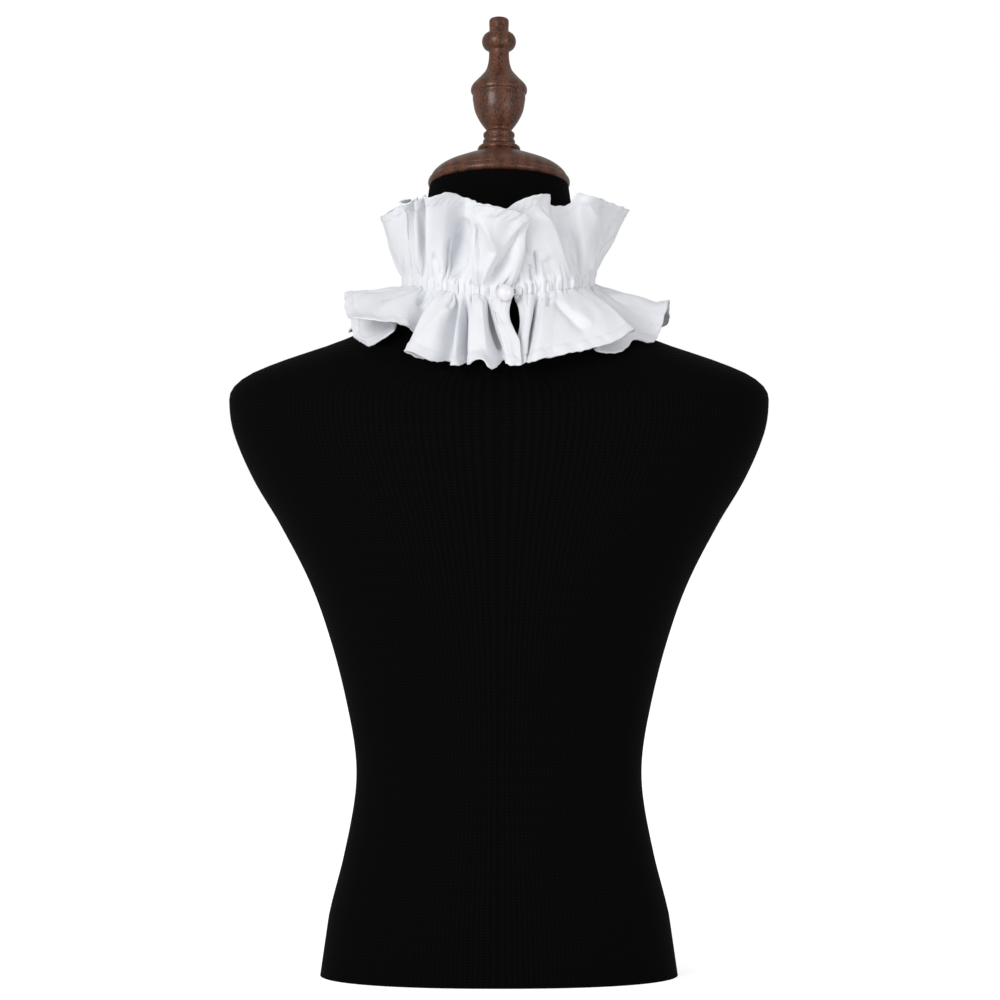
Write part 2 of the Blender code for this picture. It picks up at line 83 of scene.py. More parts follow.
Section = namedtuple("Section", "height half_width back front roundness tilt")
FORM_SECTIONS = [Section(*row) for row in (
    (0, 133.8, -96, 88, 2.3, 0), (44, 127.5, -93, 87, 2.3, 0), (89, 116.3, -84, 84, 2.3, 0),
    (134, 108, -75, 83, 2.3, 0), (163, 107.6, -73, 84, 2.3, 0), (201, 114, -76, 89, 2.3, 0),
    (246, 125.3, -84, 99, 2.3, 0), (291, 141, -93, 109, 2.35, 0), (336, 163.9, -99, 115, 2.4, 0),
    (370, 184, -101, 113, 2.45, 0), (404, 198.4, -99, 103, 2.5, 0), (426, 201.8, -94, 90, 2.5, 0),
    (438, 199.5, -89, 81, 2.45, 0), (449, 186, -84.5, 73, 2.35, 0), (460, 159, -80.5, 66, 2.25, 0),
    (471, 126, -77, 60.5, 2.15, 0), (482, 99, -74, 56.5, 2.1, 0), (493, 81, -71.5, 53.5, 2.05, 0),
    (505, 70, -69, 51.5, 2, 1), (518, 64, -64.5, 51, 2, 2), (545, 58.5, -54.5, 53, 2, 5),
    (570, 55.2, -47.5, 55.5, 2, 9), (590, 52.4, -42.8, 58.2, 2, NECK_TILT),
)]

# Folds of the frills, each row a crest or a hollow, in order from the strip's left end round the front.
Fold = namedtuple("Fold", "root angle reach height belly sway", defaults=(0.0,))
STANDING_LEFT = [Fold(*row) for row in (
    (9, 13.2, 100.6, 559.5, 2, 2), (2, 10, 106, 561.5, 3, 3), (-4, 5.5, 110.5, 563.5, 1, 1),
    (-9, 0, 116, 565, 3), (-14.5, -8.8, 117, 566.5, 4), (-18.5, 2.5, 98, 564.8, 0),
    (-24, -9.5, 88, 570.8, -3), (-32, -17, 81.5, 575, -7), (-39, -22.6, 96, 578.5, 1),
    (-46, -29.5, 104, 575.5, 4), (-51, -33.5, 96, 576.5, 0), (-56, -34.8, 106, 571.5, 2),
    (-61, -39.5, 94, 575.5, 0), (-67, -41.8, 103, 572.6, 2), (-74, -52, 83, 576, -2),
    (-82, -73, 88.5, 566, 2), (-91, -93, 86, 568.5, 2), (-99, -110, 78, 577, 0),
)]
STANDING_RIGHT = [Fold(*row) for row in (
    (-262, -240, 73, 582, 0), (-273, -266, 97, 572.5, 2), (-284, -291, 83, 577, 1),
    (-290, -308.5, 90, 577, 2), (-295, -319.3, 88.5, 579, 2), (-298.5, -321, 79.5, 571, -2),
    (-305, -331.5, 77, 571, -3), (-311, -338.8, 92, 576.5, 3), (-322, -344.6, 98.5, 576, 3),
    (-332, -350.5, 97.5, 572.5, 2), (-340, -355.5, 94, 567, 0), (-351, -361.5, 90, 562, 0, -2),
)]
FALLING_LEFT = [Fold(*row) for row in (
    (9, 8.8, 107.5, 452.5, 4, -6), (2, 7, 107.5, 452, 4, -4), (-5, 3.6, 108.5, 452.5, 4, -2),
    (-8.2, 2.6, 90, 457, -8), (-10, -3.4, 109.5, 449, 3), (-13.5, -7.6, 110, 455, 5),
    (-17.5, -11.4, 109, 453, 4), (-20, -15.2, 86, 455, -7), (-22.8, -18, 107, 451.5, 4),
    (-25.8, -24.4, 87, 456, -7), (-30, -28, 107.5, 455.7, 4), (-34.5, -36.8, 112.5, 463, 6),
    (-38.5, -34.2, 104, 458, 1), (-41, -31.6, 95, 459, 0), (-43.5, -30.8, 88.5, 462.5, 0),
    (-46, -34, 83.5, 466.5, 1), (-49, -40.5, 87, 474.5, 1), (-52.5, -43, 108, 484, 2),
    (-56, -49, 125.5, 483.5, 5), (-61, -59.5, 128, 489, 4), (-66.5, -71.5, 120, 508, 1),
    (-70, -75, 117.5, 503, 0), (-75, -74, 113.5, 486, 1), (-80, -67, 115, 470, 2),
    (-84, -58.5, 110.5, 469.5, 2), (-87, -51.5, 107, 474, 1), (-90, -48.5, 101.5, 480, 0),
    (-93, -58, 95, 484.5, 0), (-96.5, -79, 97, 486.5, 0), (-101, -94, 113, 481, 3),
)]
FALLING_RIGHT = [Fold(*row) for row in (
    (-260, -256, 106, 480, 2), (-267, -265, 126.5, 487, 3), (-273, -273, 126, 500, 1),
    (-278, -291, 121.5, 471.5, 3), (-281.5, -296.5, 112, 473, 0), (-285, -306, 110.5, 463.5, 2),
    (-288.5, -316.5, 97.5, 463, 0), (-291.5, -316.5, 102.5, 468.5, 0), (-293.5, -311.5, 105.5, 471.5, 1),
    (-297, -305.6, 112.5, 477.5, 1), (-300.5, -306.2, 120.2, 477.3, 3), (-305, -314.5, 118, 470.3, 5),
    (-310, -325, 109, 464, 6), (-320, -335, 104.5, 460, 6), (-331.5, -346.5, 106, 455.5, 6),
    (-335.5, -348.6, 101, 454.5, -11), (-339.5, -350, 102.5, 453.5, 2),
    (-345, -351.2, 101.5, 453.5, 3, 2), (-351, -352.5, 98.5, 454.5, 0, 4),
)]

# Folds across the front, which the photo hides: a wave of crests and hollows between two angles.
Wave = namedtuple("Wave", "count root_first root_last first last crest hollow crest_height "
                          "hollow_height half_width")
STANDING_FRONT = Wave(8, -106, -252, -124, -228, 112, 84, 561, 571, 86)
FALLING_FRONT = Wave(9, -107, -253, -104, -249, 118, 94, 454, 462, 118)
FRONT_BELLY = 2.0

# Shoulders: how much further out and higher the falling folds lie there, and where their top is looked for
SHOULDER_REACH = 4.0
SHOULDER_RISE = 24.0
SHOULDER_HEIGHTS = (400.0, 580.0)
HALVINGS = 16

# Grid of the cloth: rows crowd towards the gathering line, and the hem has its own.
COLUMNS = 960
SAMPLES_PER_COLUMN = 20
CLOTH_ROWS = 39
CLOTH_ROW_POWER = 1.12
HEM_ROWS = (0.0, 0.08, 0.2, 0.4, 0.7, 0.92, 1.0)
HEM_FOLD = 0.012
HEM_STEPS = 16

# Fine shape of the cloth
CLOTH_WALL = 0.5
HEM_WALL = 1.3
CLEARANCE = 1.1
ROOT_BEND = 7.0
ROOT_BEND_FADE = 1.6
BELLY_POWER = 0.8

# Face of the falling frill: it looks out from the neck and up.
FALLING_OUT = 0.6
FALLING_UP = 0.8
FALLING_LIFT = 40.0

# Round the gathering line both frills have the same relief, so that they meet without a step.
WAIST_ROWS = (0.0, 0.35, 0.7)
WAIST_FLAT = 1.3
WAIST_FADE = 6.0

# Gathers: tucks in one wave, its size, where it begins, how far it reaches and how sharply it fades
GatherWave = namedtuple("GatherWave", "tucks size start reach power")
GATHER_WAVES = [GatherWave(*row) for row in (
    (0.55, 0.55, 0, 8, 1.3), (1, 0.8, 0, 15, 1.4), (2.3, 0.95, 5, 30, 2), (5.1, 0.9, 14, 50, 2),
)]

# Lockstitches of the hems
THREAD = 0.38
STITCH_GROUP = 60
STITCH_INSET = 0.006
STITCH_TOP = 0.12
STITCH_REACH = 0.42
STITCH_SINK = 0.1
END_STITCHES = 1.0

# Creases pressed into the cloth: each follows places given by the root angle and by the share of the way
# from the gathers to the hem; a positive depth stands out, a negative one goes in. CREASE_PRESS makes all
# of them deeper than the tables say.
CREASE_PRESS = 1.6
CREASE_EDGE = 1.2
CREASE_FADE = 0.5
Crease = namedtuple("Crease", "path depth width")
STANDING_CREASES = [Crease(*row) for row in (
    (((-12.5, 0.86), (-9.5, 0.6), (-7.2, 0.46), (-8.6, 0.28), (-9.5, 0.04)), 2.6, 3.2),
    (((-13.5, 0.8), (-12.4, 0.5), (-12, 0.22)), -2, 4),
    (((8, 0.9), (0.8, 0.63), (-1.3, 0.47), (-3.2, 0.21), (-6.3, 0.02)), -3.4, 4.2),
    (((3.5, 0.9), (-3, 0.6), (-4.5, 0.45)), 1.4, 5),
    (((-30.6, 0.78), (-31, 0.4), (-31.9, 0.08)), -4.6, 5),
    (((-27, 0.5), (-27.8, 0.05)), -2.2, 4),
    (((-42.9, 0.3), (-39, 0.16), (-37.6, 0.04)), -1.6, 2.4),
    (((-36, 0.5), (-35, 0.02)), -2.6, 2),
    (((-33, 0.62), (-33.4, 0.02)), -3, 1.8),
    (((-29.4, 0.5), (-30.2, 0.02)), -3, 1.8),
    (((-54.3, 0.95), (-52, 0.5), (-48, 0.06)), -1.8, 4),
    (((-58.5, 0.9), (-57, 0.5), (-56, 0.05)), 1.2, 3),
    (((-66.5, 0.95), (-66.5, 0.5), (-69.5, 0.05)), -1.6, 3.5),
    (((-320.5, 0.83), (-315.6, 0.63), (-314.8, 0.4), (-313, 0.05)), 1.6, 4),
    (((-306.5, 0.75), (-308.5, 0.35), (-310, 0.03)), -3.6, 6),
    (((-316.5, 0.99), (-317.5, 0.74)), -1.6, 6),
    (((-332.7, 0.4), (-335.3, 0.02)), -4.6, 2.2),
    (((-337.6, 0.26), (-340, 0.02)), -3.6, 1.8),
    (((-329, 0.26), (-330.5, 0.03)), -1.6, 2.6),
    (((-324, 0.3), (-325.5, 0.03)), -1.2, 2.6),
    (((-293.8, 0.98), (-291, 0.8), (-284.8, 0.56), (-283, 0.44), (-289, 0.2), (-292, 0.05)), 2.2, 4.5),
    (((-279, 0.8), (-277, 0.4), (-280, 0.06)), -2, 6),
    (((-300, 0.6), (-301.5, 0.05)), -1.2, 4),
)]
FALLING_CREASES = [Crease(*row) for row in (
    (((-26.2, 0.02), (-30.5, 0.4), (-33.6, 0.98)), 1.8, 4.5),
    (((-8.2, 0.08), (-8.6, 0.46), (-7.6, 0.8)), -3, 4),
    (((-12.2, 0.1), (-11.6, 0.5), (-11.2, 0.8)), 1.8, 4),
    (((-28.5, 0.04), (-29.5, 0.3)), -1.6, 3),
    (((-2, 0.1), (1.5, 0.5)), -1.4, 5),
    (((-325.5, 0.14), (-318, 0.45), (-309.5, 0.78)), -2.8, 4.5),
    (((-322, 0.16), (-315, 0.45), (-307.5, 0.7)), 1.2, 4.5),
    (((-329, 0.03), (-328, 0.3)), -2, 3.5),
    (((-294.5, 0.02), (-299, 0.5), (-301.3, 0.99)), 1.6, 4),
    (((-288, 0.04), (-286, 0.5)), -2.2, 6),
    (((-54, 0.05), (-58.5, 0.55)), -1.6, 5),
    (((-62, 0.1), (-66, 0.7)), -1.4, 6),
    (((-47, 0.02), (-51, 0.45)), -2, 5),
)]

# How lively the gathers run out into each frill: quiet where a smooth lobe shows.
Calm = namedtuple("Calm", "root reach")
STANDING_CALM = [Calm(*row) for row in (
    (10, 0.6), (-8, 0.5), (-20, 1), (-33, 1), (-42, 0.5), (-56, 1), (-75, 0.8), (-95, 1), (-180, 1.1),
    (-270, 0.8), (-285, 0.6), (-300, 0.9), (-315, 0.6), (-326, 0.5), (-338, 0.8), (-348, 0.7),
)]
FALLING_CALM = [Calm(*row) for row in (
    (10, 0.5), (-4, 0.5), (-8, 0.7), (-13, 0.45), (-18, 0.8), (-30, 0.9), (-45, 1.2), (-70, 0.8),
    (-95, 1.1), (-180, 1.2), (-260, 1.1), (-275, 0.8), (-292, 1), (-305, 0.4), (-325, 0.45), (-336, 1),
    (-348, 0.8),
)]

# Places where the hem rolls out towards the viewer: the root angle, the cloth it takes up and its lift.
Curl = namedtuple("Curl", "root width lift")
STANDING_CURLS = [Curl(*row) for row in (
    (-67, 9, 3), (-44, 14, 3), (-20, 10, -3), (-312, 16, 3), (-290, 12, 4),
)]
FALLING_CURLS = [Curl(*row) for row in (
    (-12.5, 6, 4.5), (-22, 8, 2), (-32, 9, 3.5), (-57, 14, 4), (-79, 16, 6), (-274, 14, 6), (-290, 12, 5),
    (-302, 10, 4),
)]
CURL_START = 0.78

# Fastening: its seat and sizes are as in the solids; the loop swells between the shank and its tails.
BUTTON_ANGLE = 3.4
BUTTON_OUT = 1.85
BUTTON_DROP = 0.6
BUTTON_SAG = 1.3
BEAD_SINK = 0.4
SHANK_RADIUS = 1.7
SHANK_LENGTH = 3.2
SHANK_FOOT = 0.3
BEAD_START = -72.0
BEAD_STEPS = 23
BEAD_AROUND = 72
LOOP_RADIUS = 2.6
LOOP_SPREAD = 1.7
LOOP_SWELL = 1.25
LOOP_SWELL_PLACE = 0.6
LOOP_LIFT = 0.56
LOOP_STEPS = 10
TAIL_PAST = 0.8
PLY_RADIUS = 0.29
TWIST = 1.9
BINDING_TURNS = 8
BINDING_STEPS = 12
BINDING_BACK = 3.4
BINDING_WIDE = 0.75
BINDING_PITCH = 0.5

# Turned wood: outlines from top to bottom, radius and height above the neck's top.
Ring = namedtuple("Ring", "radius height")
CAP_OUTLINE = [Ring(*row) for row in (
    (14.6, 31.6), (15.8, 30.4), (16, 28.6), (15, 27.2), (16.6, 26.4), (20.5, 25), (26.1, 22.8),
    (34.4, 19.4), (41.6, 16.2), (46.6, 13), (49.8, 9.8), (51.2, 7.4), (51.2, 6.6), (52.6, 5.6),
    (53.3, 3.8), (53.2, 2), (52.2, 0.5), (50.8, 0),
)]
FINIAL_OUTLINE = [Ring(*row) for row in (
    (4.5, 132.4), (6.6, 131.6), (7.4, 130), (7.4, 122), (8.6, 120.8), (11, 119), (12.4, 116.6),
    (12.9, 113.8), (12.4, 111), (10.8, 108.4), (8, 106.6), (7.6, 105.4), (7.8, 99.5), (8.6, 95), (10, 91),
    (12.6, 87.6), (16.4, 83.4), (19.4, 80.2), (20.8, 78), (21.3, 75.6), (20.8, 73.4), (19.9, 72.6),
    (19.9, 69), (19.4, 65.6), (18.4, 60), (16.6, 55.4), (14, 50.6), (11.2, 46.6), (9.4, 44), (10.2, 42.8),
    (11.6, 41.6), (11.8, 39.6), (11, 37.8), (11, 37.2), (12, 35.8), (12, 33.4), (11.2, 31.9),
)]
TURNING_STEPS = 96
TURNING_SMOOTH = 3
WELD = 0.01

# Jersey cover: steps round and up it, and the radius that its ribs are spaced on
TORSO_AROUND = 144
TORSO_UP = 118
TORSO_GIRTH_RADIUS = 120.0
TORSO_WELD = 0.02

# Studio, in metres
FLOOR_RADIUS = 30.0
CAMERA_PLACE = (0.00075, -2.994, 0.355)
CAMERA_LENS = 144.0
CAMERA_SENSOR = 36.0
CAMERA_REACH = 60.0
Lamp = namedtuple("Lamp", "name size place aim")
LAMPS = (Lamp("key", 1.2, (-1.6, -2.4, 1.05), (0.0, 0.0, 0.5)),
         Lamp("low_fill", 1.6, (1.9, -2.2, 0.15), (0.0, 0.0, 0.55)))


class CottonSettings(bpy.types.PropertyGroup):
    """Sizes and colours of the cotton strip"""
    gathers: IntProperty(name="Gathers", description="Tucks drawn up round the neck", default=94, min=20)
    gather_depth: FloatProperty(name="Gather Depth", default=2.2, min=0.0,
                                description="How far a tuck stands out at the line, mm")
    hem: FloatProperty(name="Hem", description="Depth of the double-fold hem, mm", default=7.0, min=1.0)
    thread: FloatProperty(name="Thread Spacing", description="Spacing of the plain weave's threads, mm",
                          default=0.45, min=0.1)
    stitch: FloatProperty(name="Stitch", description="Length of one hem stitch, mm", default=2.4, min=0.5)
    cloth: StringProperty(name="Cloth", description="Colour of the cotton, sRGB hex", default="#EAEBEF")
    sewing: StringProperty(name="Sewing Thread", description="Colour of the thread, sRGB hex",
                           default="#F0F0F2")


class FastenerSettings(bpy.types.PropertyGroup):
    """Sizes and colours of the button and its loop"""
    radius: FloatProperty(name="Button Radius", description="Radius of the pearl button, mm", default=6.3)
    depth: FloatProperty(name="Button Depth", description="Depth of the bead over its width", default=0.8)
    cord: FloatProperty(name="Loop Cord", description="Thickness of the loop's cord, mm", default=1.1)
    nacre: StringProperty(name="Nacre", description="Colour of the pearl coating, sRGB hex",
                          default="#E8E5EA")


class FormSettings(bpy.types.PropertyGroup):
    """Knit cover of the dress form"""
    wale: FloatProperty(name="Wale Spacing", description="Spacing of the jersey's ribs, mm", default=1.5)
    jersey: StringProperty(name="Jersey", description="Colour of the jersey, sRGB hex", default="#0A0A0B")


class WoodSettings(bpy.types.PropertyGroup):
    """Turned and stained wood of the cap and the finial"""
    grain: FloatProperty(name="Grain Width", description="Width of one growth ring, mm", default=5.0)
    light: StringProperty(name="Light Grain", description="Lighter stain, sRGB hex", default="#70422B")
    dark: StringProperty(name="Dark Grain", description="Darker stain, sRGB hex", default="#200E08")


class StageSettings(bpy.types.PropertyGroup):
    """White studio round the object"""
    fill: FloatProperty(name="Fill", description="Brightness of the light from all round", default=0.54)
    key: FloatProperty(name="Key", description="Power of the soft lamp at the upper left, W",
                       default=41.0)
    low: FloatProperty(name="Low Fill", description="Power of the soft lamp low on the right, W",
                       default=26.0)


def settings(name):
    """One of the property groups on the scene."""
    return getattr(bpy.context.scene, "collar_" + name)


# Materials

def colour(code):
    """Linear colour, with alpha, from an sRGB hex code."""
    parts = [int(code[i:i + 2], 16) / 255 for i in (1, 3, 5)]
    linear = [c / 12.92 if c <= 0.04045 else ((c + 0.055) / 1.055) ** 2.4 for c in parts]
    return (*linear, 1.0)


def fill(node, links=None, **values):
    """A node's values, which are properties or sockets, and links that join its sockets to outputs."""
    for name, value in values.items():
        label = name.replace("_", " ")
        socket = node.inputs.get(label) or node.inputs.get(label.title())
        if hasattr(node, name):
            setattr(node, name, value)
        elif socket is not None:
            socket.default_value = value
        else:
            raise KeyError(node.bl_idname + " has no " + name)
    for name, output in (links or {}).items():
        node.id_data.links.new(output, node.inputs[name])
    return node


def add(tree, kind, links=None, **values):
    """New node of a kind, with its values and links."""
    return fill(tree.nodes.new(kind), links, **values)


def bands(width):
    """Scale of a wave texture whose bands are a width in millimetres apart."""
    return 1.0 / (width * MM) / 20 * math.pi


def new_material(name):
    """Empty material with its tree and its Principled shader."""
    made = bpy.data.materials.new(name)
    made.use_nodes = True
    tree = made.node_tree
    return made, tree, tree.nodes["Principled BSDF"]


def cotton_material():
    """Bleached plain-woven cotton: matt, its threads just seen close up; the real cloth's slight
    translucency is left out.
    """
    cotton = settings("cotton")
    made, tree, shader = new_material("bleached_cotton_plain_weave")
    cloth = add(tree, "ShaderNodeUVMap", uv_map="cloth").outputs["UV"]
    weft, warp = (add(tree, "ShaderNodeTexWave", {"Vector": cloth}, bands_direction=direction,
                      scale=bands(cotton.thread), distortion=0.6, detail=1.0).outputs["Fac"]
                  for direction in ("X", "Y"))
    over = add(tree, "ShaderNodeMath", {0: weft, 1: warp}, operation="MAXIMUM").outputs["Value"]
    slub = add(tree, "ShaderNodeTexNoise", {"Vector": cloth}, scale=90.0, detail=4.0).outputs["Fac"]
    soft = add(tree, "ShaderNodeBump", {"Height": slub}, strength=0.25, distance=0.0012)
    bump = add(tree, "ShaderNodeBump", {"Height": over, "Normal": soft.outputs["Normal"]}, strength=0.35,
               distance=0.00012)
    tint = add(tree, "ShaderNodeMix", {"Factor": slub}, data_type="RGBA", a=colour("#E2E4E8"),
               b=colour(cotton.cloth))
    fill(shader, {"Normal": bump.outputs["Normal"], "Base Color": tint.outputs["Result"]}, Roughness=0.85,
         Specular_IOR_Level=0.3, Sheen_Weight=0.1, Sheen_Roughness=0.5)
    return made


def thread_material():
    """Twisted mercerised sewing thread: a little smoother than the cloth, with its ply seen close up."""
    made, tree, shader = new_material("mercerised_cotton_thread")
    place = add(tree, "ShaderNodeTexCoord").outputs["Object"]
    ply = add(tree, "ShaderNodeTexWave", {"Vector": place}, scale=700.0, distortion=1.0,
              bands_direction="DIAGONAL").outputs["Fac"]
    bump = add(tree, "ShaderNodeBump", {"Height": ply}, strength=0.4, distance=0.0001)
    shade = add(tree, "ShaderNodeMix", {"Factor": ply}, data_type="RGBA", a=colour("#E8E9EC"),
                b=colour(settings("cotton").sewing))
    fill(shader, {"Normal": bump.outputs["Normal"], "Base Color": shade.outputs["Result"]}, Roughness=0.6,
         Sheen_Weight=0.15)
    return made


def pearl_material():
    """Pearl lacquer over a moulded bead: milky, with faint pink and green clouds under a clear gloss."""
    made, tree, shader = new_material("pearl_lacquer")
    place = add(tree, "ShaderNodeTexCoord").outputs["Object"]
    cloud = add(tree, "ShaderNodeTexNoise", {"Vector": place}, scale=160.0, detail=2.0, distortion=1.5)
    ramp = add(tree, "ShaderNodeValToRGB", {"Fac": cloud.outputs["Fac"]})
    stops = ramp.color_ramp.elements
    stops[0].position, stops[0].color = 0.3, colour("#E0E3E8")
    stops[1].position, stops[1].color = 0.7, colour("#E6E0EA")
    stops.new(0.5).color = colour(settings("fastener").nacre)
    fill(shader, {"Base Color": ramp.outputs["Color"]}, Roughness=0.3, Specular_IOR_Level=0.6,
         Coat_Weight=0.8, Coat_Roughness=0.08, Subsurface_Weight=0.2, Subsurface_Scale=0.001)
    return made


def jersey_material():
    """Black cotton jersey stretched over the form: very matt, with fine upright ribs of loops."""
    form = settings("form")
    made, tree, shader = new_material("black_jersey_knit")
    around = add(tree, "ShaderNodeUVMap", uv_map="knit").outputs["UV"]
    wales = add(tree, "ShaderNodeTexWave", {"Vector": around}, bands_direction="X",
                scale=bands(form.wale), distortion=1.2, detail=2.0, detail_scale=2.0)
    loops = add(tree, "ShaderNodeTexWave", {"Vector": around}, bands_direction="Y",
                scale=bands(form.wale) * 1.3, distortion=2.0, detail=2.0)
    fuzz = add(tree, "ShaderNodeTexNoise", {"Vector": around}, scale=900.0, detail=3.0)
    knit = add(tree, "ShaderNodeMath", {0: wales.outputs["Fac"], 1: loops.outputs["Fac"]},
               operation="MULTIPLY").outputs["Value"]
    height = add(tree, "ShaderNodeMath", {0: knit, 1: fuzz.outputs["Fac"]}, operation="ADD")
    bump = add(tree, "ShaderNodeBump", {"Height": height.outputs["Value"]}, strength=0.5, distance=0.0003)
    shade = add(tree, "ShaderNodeMix", {"Factor": knit}, data_type="RGBA", a=colour("#050506"),
                b=colour(form.jersey))
    fill(shader, {"Normal": bump.outputs["Normal"], "Base Color": shade.outputs["Result"]}, Roughness=0.9,
         Specular_IOR_Level=0.03, Sheen_Weight=0.004, Sheen_Roughness=0.4)
    return made


def wood_material():
    """Lathe-turned walnut, stained dark and satin varnished, with its grain up the piece."""
    wood = settings("wood")
    made, tree, shader = new_material("stained_walnut_satin_varnish")
    place = add(tree, "ShaderNodeTexCoord").outputs["Object"]
    along, fine = (add(tree, "ShaderNodeMapping", {"Vector": place}, scale=scale).outputs["Vector"]
                   for scale in ((1.0, 0.7, 0.22), (1.0, 1.0, 0.45)))
    rings = add(tree, "ShaderNodeTexWave", {"Vector": along}, bands_direction="X",
                scale=bands(wood.grain), distortion=7.0, detail=3.0, detail_scale=1.5,
                detail_roughness=0.6)
    fibre = add(tree, "ShaderNodeTexNoise", {"Vector": fine}, scale=1100.0, detail=5.0).outputs["Fac"]
    mixed = add(tree, "ShaderNodeMath", {0: rings.outputs["Fac"], 2: fibre}, operation="MULTIPLY_ADD")
    mixed.inputs[1].default_value = 0.12
    ramp = add(tree, "ShaderNodeValToRGB", {"Fac": mixed.outputs["Value"]})
    stops = ramp.color_ramp.elements
    stops[0].position, stops[0].color = 0.38, colour(wood.dark)
    stops[1].position, stops[1].color = 0.76, colour(wood.light)
    bump = add(tree, "ShaderNodeBump", {"Height": fibre}, strength=0.12, distance=0.0002)
    fill(shader, {"Base Color": ramp.outputs["Color"], "Normal": bump.outputs["Normal"]}, Roughness=0.4,
         Specular_IOR_Level=0.35, Coat_Weight=0.1, Coat_Roughness=0.15)
    return made


def paper_material():
    """Seamless white studio paper."""
    made, tree, shader = new_material("seamless_white_paper")
    place = add(tree, "ShaderNodeTexCoord").outputs["Object"]
    grain = add(tree, "ShaderNodeTexNoise", {"Vector": place}, scale=400.0)
    bump = add(tree, "ShaderNodeBump", {"Height": grain.outputs["Fac"]}, strength=0.05, distance=0.0005)
    path = add(tree, "ShaderNodeLightPath")
    lift = add(tree, "ShaderNodeMath", {0: path.outputs["Is Camera Ray"]}, operation="MULTIPLY")
    lift.inputs[1].default_value = 0.6
    fill(shader, {"Normal": bump.outputs["Normal"], "Emission Strength": lift.outputs["Value"]},
         Base_Color=colour("#FAFAFA"), Roughness=0.95, Specular_IOR_Level=0.1,
         Emission_Color=(1.0, 1.0, 1.0, 1.0))
    return made


# Cloth shape

def lerp(a, b, t):
    """Straight blend from a to b."""
    return a + (b - a) * t


def limit(values):
    """Values kept between nought and one."""
    return np.clip(values, 0.0, 1.0)


def unit(vectors):
    """Arrays of vectors at unit length."""
    return vectors / np.maximum(np.linalg.norm(vectors, axis=-1), 1e-9)[..., None]


def outwards(points):
    """Level vectors from the neck's middle to arrays of points."""
    return np.stack((points[..., 0], points[..., 1] - RING_Y, np.zeros(points.shape[:-1])), axis=-1)


def polar(angle, reach, height):
    """Point round the neck, in millimetres, from its angle, its distance and its height."""
    turn = math.radians(angle)
    return Vector((reach * math.sin(turn), RING_Y - reach * math.cos(turn), height))


def ring_points(angles, out, up):
    """Points on the gathering line at an array of angles, moved out from the neck and up."""
    turn = np.radians(angles)
    low = np.where(np.cos(turn) > 0, RING_HEIGHT_BACK, RING_HEIGHT_FRONT)
    height = low + (RING_HEIGHT_SIDE - low) * np.sin(turn) ** 2
    return np.stack(((RING_HALF_WIDTH + out) * np.sin(turn),
                     RING_Y - (RING_HALF_DEPTH + out) * np.cos(turn), height + up), axis=-1)


def form_top(x, y):
    """Heights of the shoulder or the neck under arrays of points, found by halving."""
    table = np.array([(s.height, s.half_width, (s.back + s.front) / 2, (s.front - s.back) / 2,
                       s.roundness) for s in FORM_SECTIONS]).T
    low, high = (np.full(x.shape, height) for height in SHOULDER_HEIGHTS)
    for _ in range(HALVINGS):
        middle = (low + high) / 2
        half_width, centre, half_depth, power = (np.interp(middle, table[0], row) for row in table[1:])
        inside = ((np.abs(x) / half_width) ** power + (np.abs(y - centre) / half_depth) ** power) < 1
        low, high = np.where(inside, middle, low), np.where(inside, high, middle)
    return low


def front_folds(wave):
    """Round crests and narrow hollows across the front, uneven in width, reach and height."""
    folds = []
    for i in range(3 * wave.count + 1):
        lobe, part = divmod(i, 3)
        uneven = math.sin(1.7 * lobe + 0.6)
        place = lobe + (0.0, 0.34 - 0.06 * uneven, 0.68 + 0.05 * uneven)[part]
        place += 0.12 * math.sin(2.3 * lobe) * (part == 0) * (0 < lobe < wave.count)
        share = place / wave.count
        root, angle = lerp(wave.root_first, wave.root_last, share), lerp(wave.first, wave.last, share)
        crest = (0.0, 1.0, 0.9)[part]
        reach = lerp(wave.hollow + 3.0 * uneven, wave.crest + 4.0 * uneven, crest)
        height = lerp(wave.hollow_height, wave.crest_height - 3.0 * uneven, crest)
        reach = min(reach, wave.half_width / max(0.01, abs(math.sin(math.radians(angle)))))
        folds.append(Fold(root, angle, reach, height, FRONT_BELLY * crest))
    return folds


def standing_folds():
    """All folds of the standing frill."""
    return STANDING_LEFT + front_folds(STANDING_FRONT) + STANDING_RIGHT


def falling_folds():
    """All folds of the falling frill; over the throat its hem hangs lower than on the shoulders."""
    front = []
    for fold in front_folds(FALLING_FRONT):
        shoulder = math.sin(math.radians(fold.root)) ** 2
        front.append(fold._replace(reach=fold.reach + SHOULDER_REACH * shoulder,
                                   height=fold.height + SHOULDER_RISE * shoulder))
    return FALLING_LEFT + front + FALLING_RIGHT


def smooth_curve(points, steps):
    """Centripetal curve through points: a list of (segment, share, point) samples."""
    ends = [points[0] * 2 - points[1]] + points + [points[-1] * 2 - points[-2]]
    samples = []
    for i in range(len(points) - 1):
        p0, p1, p2, p3 = ends[i:i + 4]
        t1 = max((p1 - p0).length, 0.5) ** 0.5
        t2 = t1 + max((p2 - p1).length, 0.5) ** 0.5
        t3 = t2 + max((p3 - p2).length, 0.5) ** 0.5
        last = steps + 1 if i == len(points) - 2 else steps
        for k in range(last):
            t = lerp(t1, t2, k / steps)

            def between(a, b, start, end):
                return a * ((end - t) / (end - start)) + b * ((t - start) / (end - start))

            a1, a2, a3 = between(p0, p1, 0, t1), between(p1, p2, t1, t2), between(p2, p3, t2, t3)
            b1, b2 = between(a1, a2, 0, t2), between(a2, a3, t1, t3)
            samples.append((i, k / steps, between(b1, b2, t1, t2)))
    return samples


Line = namedtuple("Line", "root length point belly sway")


